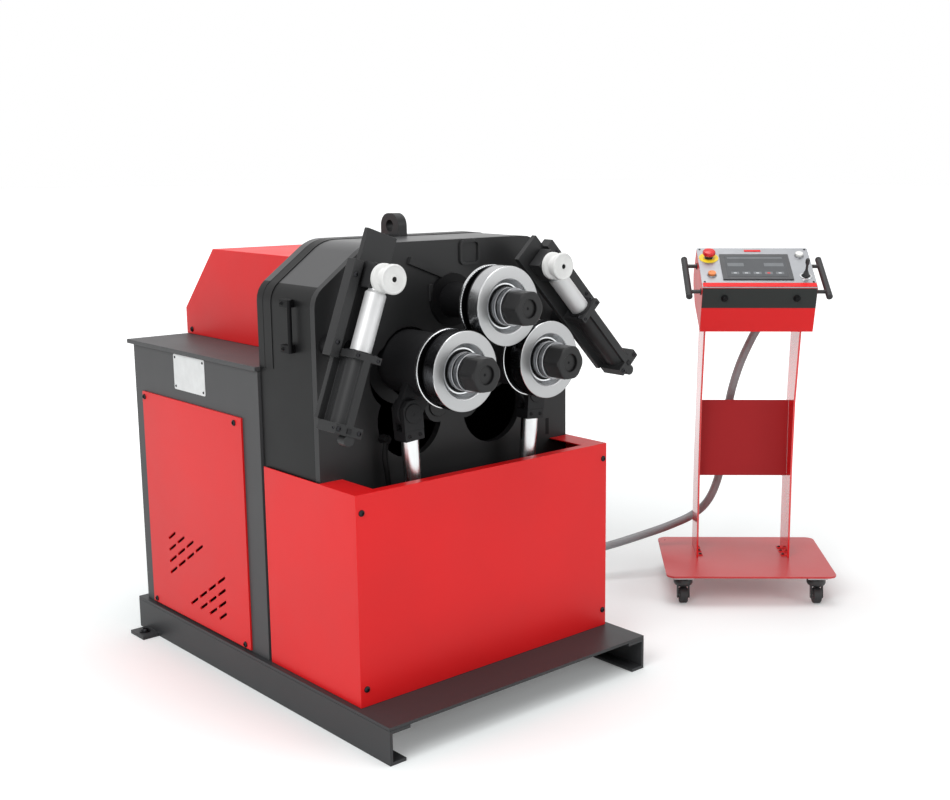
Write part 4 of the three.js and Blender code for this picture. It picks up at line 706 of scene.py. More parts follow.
def build_head(sizes):
    # The shell's sides take the darker black as painted shade, its top the lighter black as painted sheen.
    softened("head_shell", ["shell", "painted_sheen_black"], "machine", sizes.casting_edge, 3, pick=on_painted_sheen)
    # The bosses on the front plate take the darkest black as painted shade.
    softened("head_front_plate", ["black", "deep"], "machine", sizes.casting_edge * 0.8, pick=on_boss)
    build_head_band()
    build_head_trim()
    softened("lifting_eye", "black", "machine", 0.003, 3)
    build_side_handle()


def on_painted_sheen(point):
    """1 near the top of the head, which takes the lighter black as painted sheen, 0 below, which takes the
    darker black as painted shade.
    """
    return int(point.z > HEAD_TOP - PAINTED_SHEEN_DEPTH)


def on_boss(point):
    """0 on the plate and its rib, 1 on the bosses that stand in front of it, which take the darkest black as
    painted shade.
    """
    centres = [machine_at(x, 0, z) for x, z in BOSSES]
    near = min(math.hypot(point.x - centre.x, point.z - centre.z) for centre in centres)
    return int(point.y < FRONT_Y + HEAD_FRONT - 0.0005 and near < BOSS_REACH)


def build_head_band():
    """Low step beside the rear rim, and the pipe that shows through the left window."""
    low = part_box("cabinet_top")[1].z + BAND_GAP
    bm = bmesh.new()
    outline = head_outline(BAND_PROUD, low) + head_outline(-BAND_SINK, low)[::-1]
    add_prism(bm, outline, BAND_SINK - BAND_WIDTH, machine_at(0, RIM_FRONT - BAND_WIDTH, 0), X, Z)
    # The band takes the darker black of painted shade, like the shell's sides.
    make_piece("head_band", bm, "machine", "shell")
    bm = bmesh.new()
    add_tube(bm, smooth_route([machine_at(*point) for point in PIPE_ROUTE], 5), PIPE_RADIUS, 16)
    x, _, z = PIPE_ROUTE[0]
    radius, front, back = PIPE_NUT
    add_rod(bm, machine_at(x, front, z), machine_at(x, back, z), radius, 6)
    make_piece("head_pipe", bm, "machine", "deep")


def build_head_trim():
    """Pocket frame, small lug, pivot caps, slots in painted shade and a painted highlight along the top edge
    on the front of the head.
    """
    bm = bmesh.new()
    pocket = machine_at(POCKET[0], HEAD_FRONT, POCKET[1])
    outer, inner = rounded_loop(*POCKET_OUTER), rounded_loop(*POCKET_INNER)
    add_prism(bm, outer, POCKET_PROUD, pocket, X, Z, holes=[inner])
    add_block(bm, machine_at(LUG[0], HEAD_FRONT - LUG_SIZE[1] / 2, LUG[1]), LUG_SIZE, soft=0.002)
    for side in (-1, 1):
        turn(bm, PIVOT_CAP, machine_at(side * ARM_PIVOT[0], HEAD_FRONT, ARM_PIVOT[1]), -Y, 40)
    make_piece("head_trim", bm, "machine", "black")
    bm = bmesh.new()
    # Thin dark blocks for the slots: painted shade where the openings are.
    for x, low, high in SLOTS:
        add_block(bm, machine_at(x, HEAD_FRONT, (low + high) / 2), (*SLOT_SIZE, high - low), soft=0)
    make_piece("head_slots", bm, "machine", "deep")
    # A thin light strip on the plate's top front edge: a painted highlight.
    bm = bmesh.new()
    place = machine_at(EDGE_HIGHLIGHT_X, HEAD_FRONT + 0.0012, HEAD_TOP - 0.0010)
    add_block(bm, place, EDGE_HIGHLIGHT_SIZE, soft=0.0006)
    make_piece("head_painted_edge_highlight", bm, "machine", "worn")


HANDLE_RADIUS = 0.006
HANDLE_LEG = 0.020
HANDLE_SCREW = (0.012, 0.0048)


def build_side_handle():
    """Handle bar on two legs that lie along the head's side."""
    low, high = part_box("side_handle")
    radius = HANDLE_RADIUS
    inset, screw = HANDLE_SCREW
    bm = bmesh.new()
    bar = Vector((low.x + radius, low.y + radius, 0))
    add_rod(bm, bar + Z * (low.z + 0.0005), bar + Z * (high.z - 0.0005), radius * 0.98, 32, 0, 0.001)
    for z in (low.z + HANDLE_LEG / 2, high.z - HANDLE_LEG / 2):
        start, end = low.y + radius, high.y
        centre = Vector(((low.x + high.x) / 2, (start + end) / 2, z))
        size = (high.x - low.x - 0.0004, end - start, HANDLE_LEG)
        add_block(bm, centre, size, soft=0.0016)
        add_screw(bm, Vector((low.x, end - inset, z)), -X, screw)
    make_piece("side_handle_visual", bm, "machine", "deep", "side_handle")


# Rolls

ROLL_FRONT = 0.065
ROLL_RADIUS = 0.098
RING_WIDTH = 0.043
SPACER_WIDTH = 0.020
BACK_WIDTH = 0.009
FACE_STEEL = (0.35, 0.352, 0.356)
# A lighter copy of the face's steel for the recess: painted highlight.
RECESS_STEEL_PAINTED_HIGHLIGHT = (0.62, 0.63, 0.64)
NUT_LENGTH = 0.054
NUT_CORNER = 0.044
NUT_FLAT = 0.040
NUT_FACETS = 96
SOCKET_RADIUS = 0.0225
SOCKET_DEPTH = 0.0075
SHAFT_FRONT_RADIUS = 0.0288
SHAFT_RADIUS = 0.040


def build_roll(place, centre, body):
    """Front ring with a conical recess, black spacer and bright back ring, with painted reflections on the
    flank, painted highlights on the chamfers, back ring and recess, and painted shade at the recess bottom.
    """
    base = Vector((centre.x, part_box(f"{place}_roll")[0].y, centre.z))
    materials[f"{place}_face"] = lathe_turned(f"{place}_roll_face", FACE_STEEL, 0.34, base)
    # The recess takes a lighter copy of the face's turned steel as painted highlight.
    materials[f"{place}_recess"] = lathe_turned(f"{place}_roll_recess_painted_highlight", RECESS_STEEL_PAINTED_HIGHLIGHT, 0.3, base)
    r = ROLL_RADIUS
    ring_end = RING_WIDTH
    spacer_end = ring_end + SPACER_WIDTH
    back_end = spacer_end + BACK_WIDTH
    # Finishes by index: 0 face; 1 flank as painted reflection, lighter on the top roll, darker on the lower
    # rolls; 2 black spacer, which also paints the dark back of the flank as painted reflection; 3 bright
    # chamfers and back ring as painted highlight; 4 lighter recess as painted highlight; 5 dark ring at the
    # recess bottom as painted shade.
    profile = [
        (0.0150, 0.0404, 5), (0.0150, 0.0525, 4), (0.0150, 0.0560, 4), (0.0025, 0.0655, 4),
        (0.0006, 0.0672, 0), (0.0, 0.0690, 0), (0.0, r - 0.0025, 0), (0.0007, r - 0.0008, 3),
        (0.0025, r, 1), (ring_end * 0.85, r, 2), (ring_end - 0.002, r, 2), (ring_end, r - 0.002, 2),
        (ring_end + 0.0005, r - 0.010, 2), (ring_end + 0.0020, 0.0735, 2),
        (spacer_end - 0.0020, 0.0735, 2), (spacer_end - 0.0005, r - 0.010, 2),
        (spacer_end, r - 0.002, 3), (spacer_end + 0.0015, r, 3), (back_end - 0.0015, r, 3),
        (back_end, r - 0.002, 0), (back_end, 0.0404, 0),
    ]
    bm = bmesh.new()
    turn_ring(bm, profile, base, Y, 128)
    # The top roll's flank takes the lighter painted reflection, the lower rolls' flanks the darker one.
    flank = "flank" if place == "top" else "flank_painted_dark_reflection"
    finishes = [f"{place}_face", flank, "oxide_black_and_painted_reflection", "edge", f"{place}_recess", "deep"]
    return make_piece(f"{place}_roll_visual", bm, body, finishes, f"{place}_roll")


def hexagon_reach(angle):
    """Radius of the nut in one direction: its flats, with the corners turned off."""
    turned = angle % (math.pi / 3) - math.pi / 6
    return min(NUT_CORNER, NUT_FLAT / math.cos(turned))


def build_nut(place, centre, body):
    """Lock nut with eased flats and a shallow socket, and the grooved collar behind it; the socket's wall,
    its centre dot and the collar's groove take the darkest black as painted shade.
    """
    low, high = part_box(f"{place}_lock_nut")
    base = Vector((centre.x, low.y, centre.z))
    length = NUT_LENGTH
    total = high.y - low.y
    bm = bmesh.new()
    rows = [
        (SOCKET_DEPTH, lambda a: SOCKET_RADIUS),
        (0.0015, lambda a: SOCKET_RADIUS),
        (0.0, lambda a: SOCKET_RADIUS + 0.0015),
        (0.0, lambda a: min(hexagon_reach(a), 0.0395) - 0.002),
        (0.0012, lambda a: min(hexagon_reach(a), 0.0418)),
        (0.0040, hexagon_reach),
        (length - 0.002, hexagon_reach),
        (length, lambda a: hexagon_reach(a) - 0.002),
        (length, lambda a: 0.036),
    ]
    rings = []
    for along, radius in rows:
        ring = []
        for k in range(NUT_FACETS):
            angle = 2 * math.pi * k / NUT_FACETS
            out = X * math.cos(angle) + Z * math.sin(angle)
            ring.append(bm.verts.new(base + Y * along + out * radius(angle)))
        rings.append(ring)
    for a, b in zip(rings, rings[1:]):
        for k in range(NUT_FACETS):
            corners = [a[k], a[(k + 1) % NUT_FACETS], b[(k + 1) % NUT_FACETS], b[k]]
            bm.faces.new(corners).material_index = 2 if a is rings[0] else 0
    bm.faces.new(rings[0])
    bm.faces.new(rings[-1])
    turn(bm, [(0.0074, 0.0034, 2), (0.0066, 0.0028, 2), (0.0066, 0.0, 2)], base, Y, 20)
    collar = [
        (length - 0.0005, 0.030, 1), (length - 0.0005, 0.0455, 1), (length + 0.001, 0.047, 1),
        (length + 0.0135, 0.047, 1), (length + 0.0145, 0.0455, 2), (length + 0.0145, 0.0432, 2),
        (length + 0.0205, 0.0432, 1), (length + 0.0205, 0.0455, 1), (length + 0.0215, 0.047, 1),
        (total - 0.001, 0.047, 1), (total, 0.0455, 1), (total, 0.030, 1),
    ]
    turn_ring(bm, collar, base, Y, 80, 1)
    name = f"{place}_lock_nut"
    return make_piece(f"{name}_visual", bm, body, ["nut", "steel", "deep"], name, 12)


def build_shaft(place, centre, body):
    """Shaft with a thinner front end that carries the roll and the nut."""
    low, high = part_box(f"{place}_shaft")
    base = Vector((centre.x, low.y, centre.z))
    length = high.y - low.y
    shoulder = ROLL_FRONT + FRONT_Y + 0.0153 - low.y
    bm = bmesh.new()
    turn(bm, [
        (0.001, 0.0), (0.001, 0.024), (0.005, SHAFT_FRONT_RADIUS), (shoulder, SHAFT_FRONT_RADIUS),
        (shoulder, SHAFT_RADIUS - 0.0015), (shoulder + 0.0015, SHAFT_RADIUS),
        (length - 0.002, SHAFT_RADIUS), (length, SHAFT_RADIUS - 0.002), (length, 0.0),
    ], base, Y)
    return make_piece(f"{place}_shaft_visual", bm, body, "steel", f"{place}_shaft")


def build_rolls(sizes):
    for place in ("top", "left", "right"):
        body = f"{place}_roll_set"
        centre = Vector(joints[f"{place}_roll_spin"]["pos_m"])
        build_roll(place, centre, body)
        build_nut(place, centre, body)
        build_shaft(place, centre, body)
    build_knurl(sizes.knurl_teeth)


KNURL_WIDTH = 0.0092
KNURL_ROWS = [
    (0.0002, 0.0962, 0.0962), (0.0012, 0.0979, 0.0955), (0.0080, 0.0979, 0.0955),
    (0.0090, 0.0962, 0.0962),
]


def build_knurl(teeth):
    """The toothed rim behind the top roll's bright ring."""
    centre = Vector(joints["top_roll_spin"]["pos_m"])
    base = Vector((centre.x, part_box("top_roll")[1].y - KNURL_WIDTH, centre.z))
    count = teeth * 4
    bm = bmesh.new()
    rows = []
    for along, tip, root in KNURL_ROWS:
        ring = []
        for k in range(count):
            radius = tip if k % 4 in (0, 1) else root
            angle = 2 * math.pi * k / count
            out = X * math.cos(angle) + Z * math.sin(angle)
            ring.append(bm.verts.new(base + Y * along + out * radius))
        rows.append(ring)
    for a, b in zip(rows, rows[1:]):
        for k in range(count):
            bm.faces.new([a[k], a[(k + 1) % count], b[(k + 1) % count], b[k]])
    make_piece("top_roll_knurl", bm, "top_roll_set", "steel")


# Swing arms and lift cylinders

def link_outline(a, ra, b, rb, sides=40):
    """Two round ends and the straight sides that touch both."""
    span = math.hypot(b[0] - a[0], b[1] - a[1])
    heading = math.atan2(b[1] - a[1], b[0] - a[0])
    spread_angle = math.acos((ra - rb) / span)
    first = circle(a[0], a[1], ra, sides, heading + spread_angle, 2 * math.pi - 2 * spread_angle)
    second = circle(b[0], b[1], rb, sides // 2, heading - spread_angle, 2 * spread_angle)
    return first + second


HUB = (0.136, 0.884)
LIFT_PIN = (0.203, 0.774)
HUB_FRONT = 0.142
ARM_REAR = 0.395
HUB_RADIUS = 0.080
MOTOR_RADIUS = 0.060
MOTOR_LENGTH = 0.115
SKIRT_FRONT = 0.312
SKIRT_RADIUS = 0.112
CYLINDER_FOOT = (0.158, 0.210, 0.191)
LIFT_SPAN = math.hypot(0.045, 0.583)
CLEVIS_HALF = 0.029
CLEVIS_DEPTH = 0.024
CLEVIS_CHEEK = 0.0128
CLEVIS_HOLE = 0.019
CLEVIS_CHAMFER = 0.016


def build_arm(side, name):
    """Hub and drive motor, the web to the pivot, the lug to the lift pin, and the dust skirt."""
    hub, pivot, pin = [(side * x, z) for x, z in (HUB, ARM_PIVOT, LIFT_PIN)]
    hub_length = ARM_REAR - HUB_FRONT
    bm = bmesh.new()
    turn(bm, [
        (0, 0.0408), (0, 0.076), (0.004, HUB_RADIUS), (0.012, HUB_RADIUS),
        (0.0135, HUB_RADIUS - 0.002), (0.0175, HUB_RADIUS - 0.002), (0.019, HUB_RADIUS),
        (hub_length, HUB_RADIUS), (hub_length, MOTOR_RADIUS),
        (hub_length + MOTOR_LENGTH - 0.002, MOTOR_RADIUS),
        (hub_length + MOTOR_LENGTH, MOTOR_RADIUS - 0.002), (hub_length + MOTOR_LENGTH, 0.0),
    ], machine_at(hub[0], HUB_FRONT, hub[1]), Y, 80)
    web = link_outline(hub, HUB_RADIUS - 0.0005, pivot, 0.044)
    add_prism(bm, web, 0.083, machine_at(0, ARM_REAR, 0), X, Z, soft=0.002)
    lug = link_outline(hub, 0.050, pin, 0.036)
    add_prism(bm, lug, 0.020, machine_at(0, 0.220, 0), X, Z, soft=0.002)
    add_rod(bm, machine_at(pin[0], 0.1866, pin[1]), machine_at(pin[0], 0.2334, pin[1]), 0.012, 32)
    inner = HUB_RADIUS - 0.0005
    skirt = [(0, inner), (0, SKIRT_RADIUS), (0.003, SKIRT_RADIUS), (0.003, inner)]
    turn_ring(bm, skirt, machine_at(hub[0], SKIRT_FRONT, hub[1]), Y, 64)
    node = f"{name}_swing_arm"
    make_piece(f"{node}_visual", bm, f"{name}_arm", "cast", node)


def build_lift(side, name):
    foot = machine_at(side * CYLINDER_FOOT[0], *CYLINDER_FOOT[1:])
    axis = Vector(joints[f"{name}_lift"]["axis"]).normalized()
    build_cylinder(name, foot, axis)
    build_cylinder_rod(name, foot, axis)


def build_cylinder(name, foot, axis):
    """Lift cylinder with its foot eye, gland nut and oil port."""
    bm = bmesh.new()
    turn(bm, [
        (0.029, 0.0), (0.029, 0.033), (0.031, 0.035), (0.340, 0.035), (0.341, 0.041),
        (0.370, 0.041), (0.372, 0.039), (0.372, 0.0226), (0.200, 0.0226), (0.200, 0.0),
    ], foot, axis, 48)
    eye = [(0, 0.0126), (0, 0.027), (0.001, 0.028), (0.039, 0.028), (0.040, 0.027), (0.040, 0.0126)]
    turn_ring(bm, eye, foot - Y * 0.020, Y, 40)
    add_rod(bm, foot + axis * 0.020, foot + axis * 0.032, 0.020, 32)
    port = foot + axis * 0.330 - Y * 0.035
    add_rod(bm, port + Y * 0.004, port - Y * 0.012, 0.010, 6)
    make_piece(f"{name}_cylinder_visual", bm, "machine", "black", f"{name}_cylinder")


def build_cylinder_rod(name, foot, axis):
    """Piston rod and the clevis that holds the arm's pin."""
    across = Y.cross(axis).normalized()
    half, depth, span, chamfer = CLEVIS_HALF, CLEVIS_DEPTH, LIFT_SPAN, CLEVIS_CHAMFER
    low, slot_low, high = span - 0.068, span - 0.042, span + 0.032
    bm = bmesh.new()
    add_rod(bm, foot + axis * 0.131, foot + axis * (span - 0.067), 0.022, 48)
    outline = [
        (-half, slot_low), (half, slot_low), (half, high - chamfer), (half - chamfer, high),
        (chamfer - half, high), (-half, high - chamfer),
    ]
    holes = [circle(0, span, CLEVIS_HOLE, 36)]
    for back in (CLEVIS_CHEEK - depth, depth):
        add_prism(bm, outline, CLEVIS_CHEEK, foot + Y * back, across, axis, 1, holes=holes)
    middle = foot + axis * ((low + slot_low) / 2)
    add_block(bm, middle, (2 * half, 2 * depth, slot_low - low), (across, Y, axis), 0.002, 1)
    for sign in (-1, 1):
        add_screw(bm, middle + across * sign * 0.016 - Y * depth, -Y, 0.005, 1)
    washer = [
        (0, 0.0, 1), (0, 0.0240, 1), (0.0022, 0.0240, 1), (0.0030, 0.0230, 1), (0.0030, 0.0040, 1),
        (0.0022, 0.0030, 1), (0.0022, 0.0, 1),
    ]
    turn(bm, washer, foot + axis * span - Y * depth, -Y, 40)
    node, body = f"{name}_cylinder_rod", f"{name}_lift_rod"
    make_piece(f"{node}_visual", bm, body, ["chrome", "cast"], node)


def build_arms():
    for side, name in ((-1, "left"), (1, "right")):
        build_arm(side, name)
        build_lift(side, name)


# Lateral guides

GUIDE_REACH = {"left": 0.174, "right": 0.225}
FLANGE_TOP = {"left": 0.179, "right": 0.163}
BODY_LENGTH = {"left": 0.151, "right": 0.191}
UPPER_FLANGE = 0.017
LOWER_FLANGE = 0.024
FLANGE_FRONT = 0.118
FLANGE_SCREW_ACROSS = 0.029
RAIL_ACROSS = 0.0545
RAIL_FRONT = 0.173
RAIL_MIDDLE = -0.0885
RAIL_SCREW_SPACING = 0.080
ROD_DEPTH = 0.155
ROD_RADIUS = 0.025
ROD_INSIDE = 0.095
ROD_HEAD = (0.060, 0.040, 0.060)
ROLLER_PROFILE = [
    (0.0, 0.0066), (0.0, 0.0105), (0.0008, 0.0115), (0.0008, 0.0290), (0.0, 0.0300), (0.0, 0.0330),
    (0.002, 0.0350), (0.010, 0.0350), (0.012, 0.0335), (0.016, 0.0270), (0.031, 0.0270),
    (0.035, 0.0335), (0.037, 0.0350), (0.045, 0.0350), (0.047, 0.0330), (0.047, 0.0066),
]


def build_guide(side, name, sizes):
    """Bracket with its screws and wiper, the rod with its head, and the roller."""
    pivot = Vector(joints[f"{name}_guide_swing"]["pos_m"])
    up = Vector(joints[f"{name}_guide_extend"]["axis"]).normalized()
    outer = up.cross(Y).normalized()
    if outer.dot(X) * side < 0:
        outer = -outer
    reach = GUIDE_REACH[name]
    origin = Vector((pivot.x, FRONT_Y, pivot.z))
    axes = (outer, Y, up)

    def at(out, y, along):
        return origin + outer * out + Y * y + up * along

    flange_top = reach - FLANGE_TOP[name]
    upper_middle = flange_top - UPPER_FLANGE / 2
    lower_middle = flange_top - UPPER_FLANGE - BODY_LENGTH[name] - LOWER_FLANGE / 2
    body = f"{name}_guide"
    softened(f"{name}_guide_bracket", "black", body, sizes.casting_edge * 0.7)
    bm = bmesh.new()
    radius = sizes.guide_screw / 2
    for sign in (-1, 1):
        across = sign * FLANGE_SCREW_ACROSS
        add_screw(bm, at(across, FLANGE_FRONT, lower_middle), -Y, radius)
        add_screw(bm, at(across, FLANGE_FRONT, upper_middle), -Y, radius * 0.8)
        add_screw(bm, at(sign * 0.031, 0.136, flange_top), up, radius)
        along = reach + RAIL_MIDDLE + sign * RAIL_SCREW_SPACING
        add_screw(bm, at(RAIL_ACROSS, RAIL_FRONT, along), -Y, radius)
    add_screw(bm, at(0.038, 0.128, lower_middle), outer, radius * 0.6)
    make_piece(f"{name}_guide_screws", bm, body, "bolt")
    bm = bmesh.new()
    add_block(bm, at(0, FLANGE_FRONT - 0.001, lower_middle), (0.012, 0.003, 0.012), axes, 0.0008)
    wiper = [(0, 0.0262), (0, 0.034), (0.003, 0.0325), (0.0035, 0.0262)]
    turn_ring(bm, wiper, at(0, ROD_DEPTH, flange_top), up, 48)
    make_piece(f"{name}_guide_wiper", bm, body, "cast")

    bm = bmesh.new()
    head_low = reach - ROD_HEAD[2] / 2
    start, end = at(0, ROD_DEPTH, flange_top - ROD_INSIDE), at(0, ROD_DEPTH, head_low - 0.0065)
    add_rod(bm, start, end, ROD_RADIUS, 56, soft=0.002)
    neck = [(0, ROD_RADIUS), (0.006, 0.020), (0.012, 0.020)]
    turn(bm, neck, at(0, ROD_DEPTH, head_low - 0.0085), up, 48)
    add_block(bm, at(0, 0.167, reach), ROD_HEAD, axes, 0.003, 1)
    add_rod(bm, at(0, 0.0996, reach), at(0, 0.150, reach), 0.006, 24, 2, 0.0008)
    node, finishes = f"{name}_guide_rod", ["satin", "black", "deep"]
    make_piece(f"{node}_visual", bm, f"{name}_guide_slide", finishes, node)

    bm = bmesh.new()
    turn_ring(bm, ROLLER_PROFILE, at(0, 0.099, reach), Y, 80)
    node = f"{name}_guide_roller"
    make_piece(f"{node}_visual", bm, f"{name}_spool", "white", node)


def build_guides(sizes):
    for side, name in ((-1, "left"), (1, "right")):
        build_guide(side, name, sizes)


# Console

PLATE_SIZE = (0.533, 0.433, 0.030)
PLATE_HEIGHT = 0.094
PLATE_DEPTH = 0.006
BLOCK_SPOT = (0.2105, 0.1565, 0.087)
BLOCK_SIZE = (0.062, 0.062, 0.014)
COLUMN_OFFSETS = ((-1, -0.1525), (1, 0.1445))
FOOT_SPOTS = (0.012, 0.054, 0.096)
FOOT_SIZE = (0.017, 0.026, 0.0022)
STRIP_FOOT = (0.059, 0.140)
STRIP_HEIGHT = 0.067
KNOB_SPOTS = (-0.105, 0.113)
KNOB_DOWN = 0.034
KNOB = [(0, 0.0110), (0.003, 0.0110), (0.004, 0.0085), (0.009, 0.0080), (0.0115, 0.0060), (0.0118, 0)]
CONSOLE_AXES = (ACROSS, AWAY, Z)
PANEL_AXES = (ACROSS, PANEL_UP, PANEL_OUT)
GRIP_ACROSS = 0.211
GRIP_LOW = -0.004
GRIP_DEPTH = -0.030
GRIP_LENGTH = 0.228
GRIP_RADIUS = 0.010
GRIP_STEMS = (0.14, 0.8)


def build_console(sizes):
    build_console_base()
    softened("left_column", "column", "console", sizes.sheet_edge * 0.75)
    softened("right_column", "column", "console", sizes.sheet_edge * 0.75)
    # The shelf takes the darker red as painted shade.
    softened("document_shelf", "dark_red", "console", sizes.sheet_edge)
    softened("console_box", "red", "console", sizes.sheet_edge * 1.25)
    build_console_trim()
    build_grips()


def build_console_base():
    """Rounded base plate with its caster blocks, and the screwed feet of the columns."""
    bm = bmesh.new()
    outline = rounded_loop(*PLATE_SIZE, 12)
    add_prism(bm, outline, PLATE_DEPTH, console_at(0, 0, PLATE_HEIGHT), ACROSS, AWAY, soft=0.001)
    for a in (-1, 1):
        for b in (-1, 1):
            spot = console_at(a * BLOCK_SPOT[0], b * BLOCK_SPOT[1], BLOCK_SPOT[2])
            add_block(bm, spot, BLOCK_SIZE, CONSOLE_AXES, 0.002, 1)
    make_piece("console_base_visual", bm, "console", ["base_red", "pale"], "console_base")
    bm = bmesh.new()
    for side, across in COLUMN_OFFSETS:
        for away in FOOT_SPOTS:
            foot = console_at(across - side * 0.0115, away, 0.1012)
            add_block(bm, foot, FOOT_SIZE, CONSOLE_AXES, 0.0006)
            add_screw(bm, console_at(across - side * 0.013, away, 0.1022), Z, 0.0055, 1)
    make_piece("column_feet", bm, "console", ["red", "bolt"])


def build_console_trim():
    """Dark strip with two knobs, and a red strip and a small red tag on the panel."""
    bm = bmesh.new()
    down = (AWAY * STRIP_FOOT[0] - Z * STRIP_FOOT[1]).normalized()
    start = console_at(0, PANEL_FRONT, PANEL_FRONT_HEIGHT)
    outward = down.cross(ACROSS).normalized()
    if outward.dot(AWAY) > 0:
        outward = -outward
    place = start + down * (STRIP_HEIGHT / 2 + 0.001) + outward * 0.0007
    add_block(bm, place, (2 * BOX_HALF - 0.001, STRIP_HEIGHT, 0.0014), (ACROSS, down, outward), 0.0005)
    for across in KNOB_SPOTS:
        knob = start + down * KNOB_DOWN + ACROSS * across + outward * 0.0012
        turn(bm, [(along, radius, 1) for along, radius in KNOB], knob, outward, 28)
    make_piece("console_front_strip", bm, "console", ["strip", "deep"])
    bm = bmesh.new()
    face = PANEL_TOP + 0.0006
    add_block(bm, panel_at(0, 0.0125, face), (2 * BOX_HALF - 0.004, 0.022, 0.0012), PANEL_AXES, 0.0004)
    add_block(bm, panel_at(0, 0.216, face), (0.052, 0.010, 0.0012), PANEL_AXES, 0.0004)
    make_piece("panel_red_trim", bm, "console", "red")


def build_grips():
    """Two grooved grips, each on two stems with a rosette at the box."""
    length, radius = GRIP_LENGTH, GRIP_RADIUS
    groove = radius * 0.9
    half = [
        (0, 0), (0, radius * 0.75), (0.003, radius), (0.010, radius),
        (0.011, groove), (0.013, groove), (0.014, radius),
    ]
    profile = half + [(length - along, reach) for along, reach in reversed(half)]
    for side, name in ((-1, "left"), (1, "right")):
        bm = bmesh.new()
        across = side * GRIP_ACROSS
        turn(bm, profile, panel_at(across, GRIP_LOW, GRIP_DEPTH), PANEL_UP, 40)
        for portion in GRIP_STEMS:
            along = GRIP_LOW + portion * length
            inner = panel_at(side * (BOX_HALF + 0.0004), along, GRIP_DEPTH)
            add_rod(bm, inner, panel_at(across, along, GRIP_DEPTH), 0.006, 24, 1, 0.0005)
            turn(bm, [(0, 0.010, 1), (0.003, 0.010, 1), (0.0035, 0.006, 1)], inner, ACROSS * side, 24)
        node = f"{name}_handle"
        make_piece(f"{node}_visual", bm, "console", ["rubber", "moulded"], node)


STOP_SPOT = (-0.140, 0.172)
STOP_TRAVEL = 0.0053
BUTTON_STEM = [(-0.018, 0), (-0.018, 0.0108)]
STOP_CAP = [
    (0.0080, 0.0128), (0.0085, 0.0185), (0.0110, 0.0200), (0.0160, 0.0200), (0.0200, 0.0175),
    (0.0220, 0.0120), (0.0228, 0.0),
]
DISC_PROFILE = [(0, 0.0138), (0, 0.0300), (0.0012, 0.0300), (0.0016, 0.0296), (0.0016, 0.0138)]
BUTTONS = [
    ("start_button", (-0.139, 0.070), "orange", "orange_plastic"),
    ("lamp_button", (0.142, 0.186), "lamp", "lamp_white"),
]
BUTTON_TRAVEL = 0.0033
BUTTON_CAP = [
    (0, 0.0108), (0.0020, 0.0110), (0.0025, 0.0120), (0.0062, 0.0120), (0.0070, 0.0110), (0.0066, 0),
]
BEZEL_PROFILE = [(0, 0.0128), (0, 0.0150), (0.0024, 0.0145), (0.0030, 0.0138), (0.0030, 0.0128)]
SEAT = PANEL_TOP + 0.0002


def build_controls():
    build_panel()
    build_screen()
    build_emergency_stop()
    for name, spot, finish, slot in BUTTONS:
        build_button(name, spot, finish)
    build_joystick()


def build_emergency_stop():
    """Mushroom button over its yellow disc."""
    bm = bmesh.new()
    rim = PANEL_TOP + STOP_TRAVEL
    profile = [(along, radius, 1) for along, radius in [*BUTTON_STEM, (rim, 0.0108), (rim, 0.0128)]]
    profile += [(rim + along, radius, 0) for along, radius in STOP_CAP]
    turn(bm, profile, panel_at(*STOP_SPOT), PANEL_OUT, 56)
    node = "emergency_stop"
    make_piece(f"{node}_visual", bm, node, ["stop", "moulded"], node)
    bm = bmesh.new()
    turn_ring(bm, DISC_PROFILE, panel_at(*STOP_SPOT, SEAT), PANEL_OUT, 64)
    make_piece("emergency_stop_disc", bm, "console", "yellow")


def build_button(name, spot, finish):
    """Push button in its metal bezel."""
    bm = bmesh.new()
    cap = PANEL_TOP + BUTTON_TRAVEL
    profile = BUTTON_STEM + [(cap + along, radius) for along, radius in BUTTON_CAP]
    turn(bm, profile, panel_at(*spot), PANEL_OUT, 48)
    make_piece(f"{name}_visual", bm, name, finish, name)
    bm = bmesh.new()
    turn_ring(bm, BEZEL_PROFILE, panel_at(*spot, SEAT), PANEL_OUT, 48)
    make_piece(f"{name}_bezel", bm, "console", "steel")


def build_panel():
    """Fascia with its screws over the CAD panel."""
    mesh = frame["nodes"]["control_panel"].data
    mesh.materials.clear()
    mesh.materials.append(materials["fascia"])
    bm = bmesh.new()
    for across in (-0.164, 0.164):
        for up in (0.030, 0.225):
            add_screw(bm, panel_at(across, up, PANEL_TOP), PANEL_OUT, 0.0035)
    make_piece("panel_screws", bm, "console", "bolt")


SCREEN_RANGE = (0.041, 0.190)
SCREEN_WIDTH = 0.214
BODY_WIDTH = 0.206
GLASS_SIZE = (0.186, 0.122, 0.0006)
BAR_SIZE = (0.170, 0.008, 0.0004)
FIELDS = ((-0.062, 0.05), (0.055, 0.06))
KEY_PITCH = 0.034
KEY_SIZE = (0.024, 0.014, 0.0004)
KEY_MARK = (0.009, 0.006, 0.0003)
RED_KEY = 1


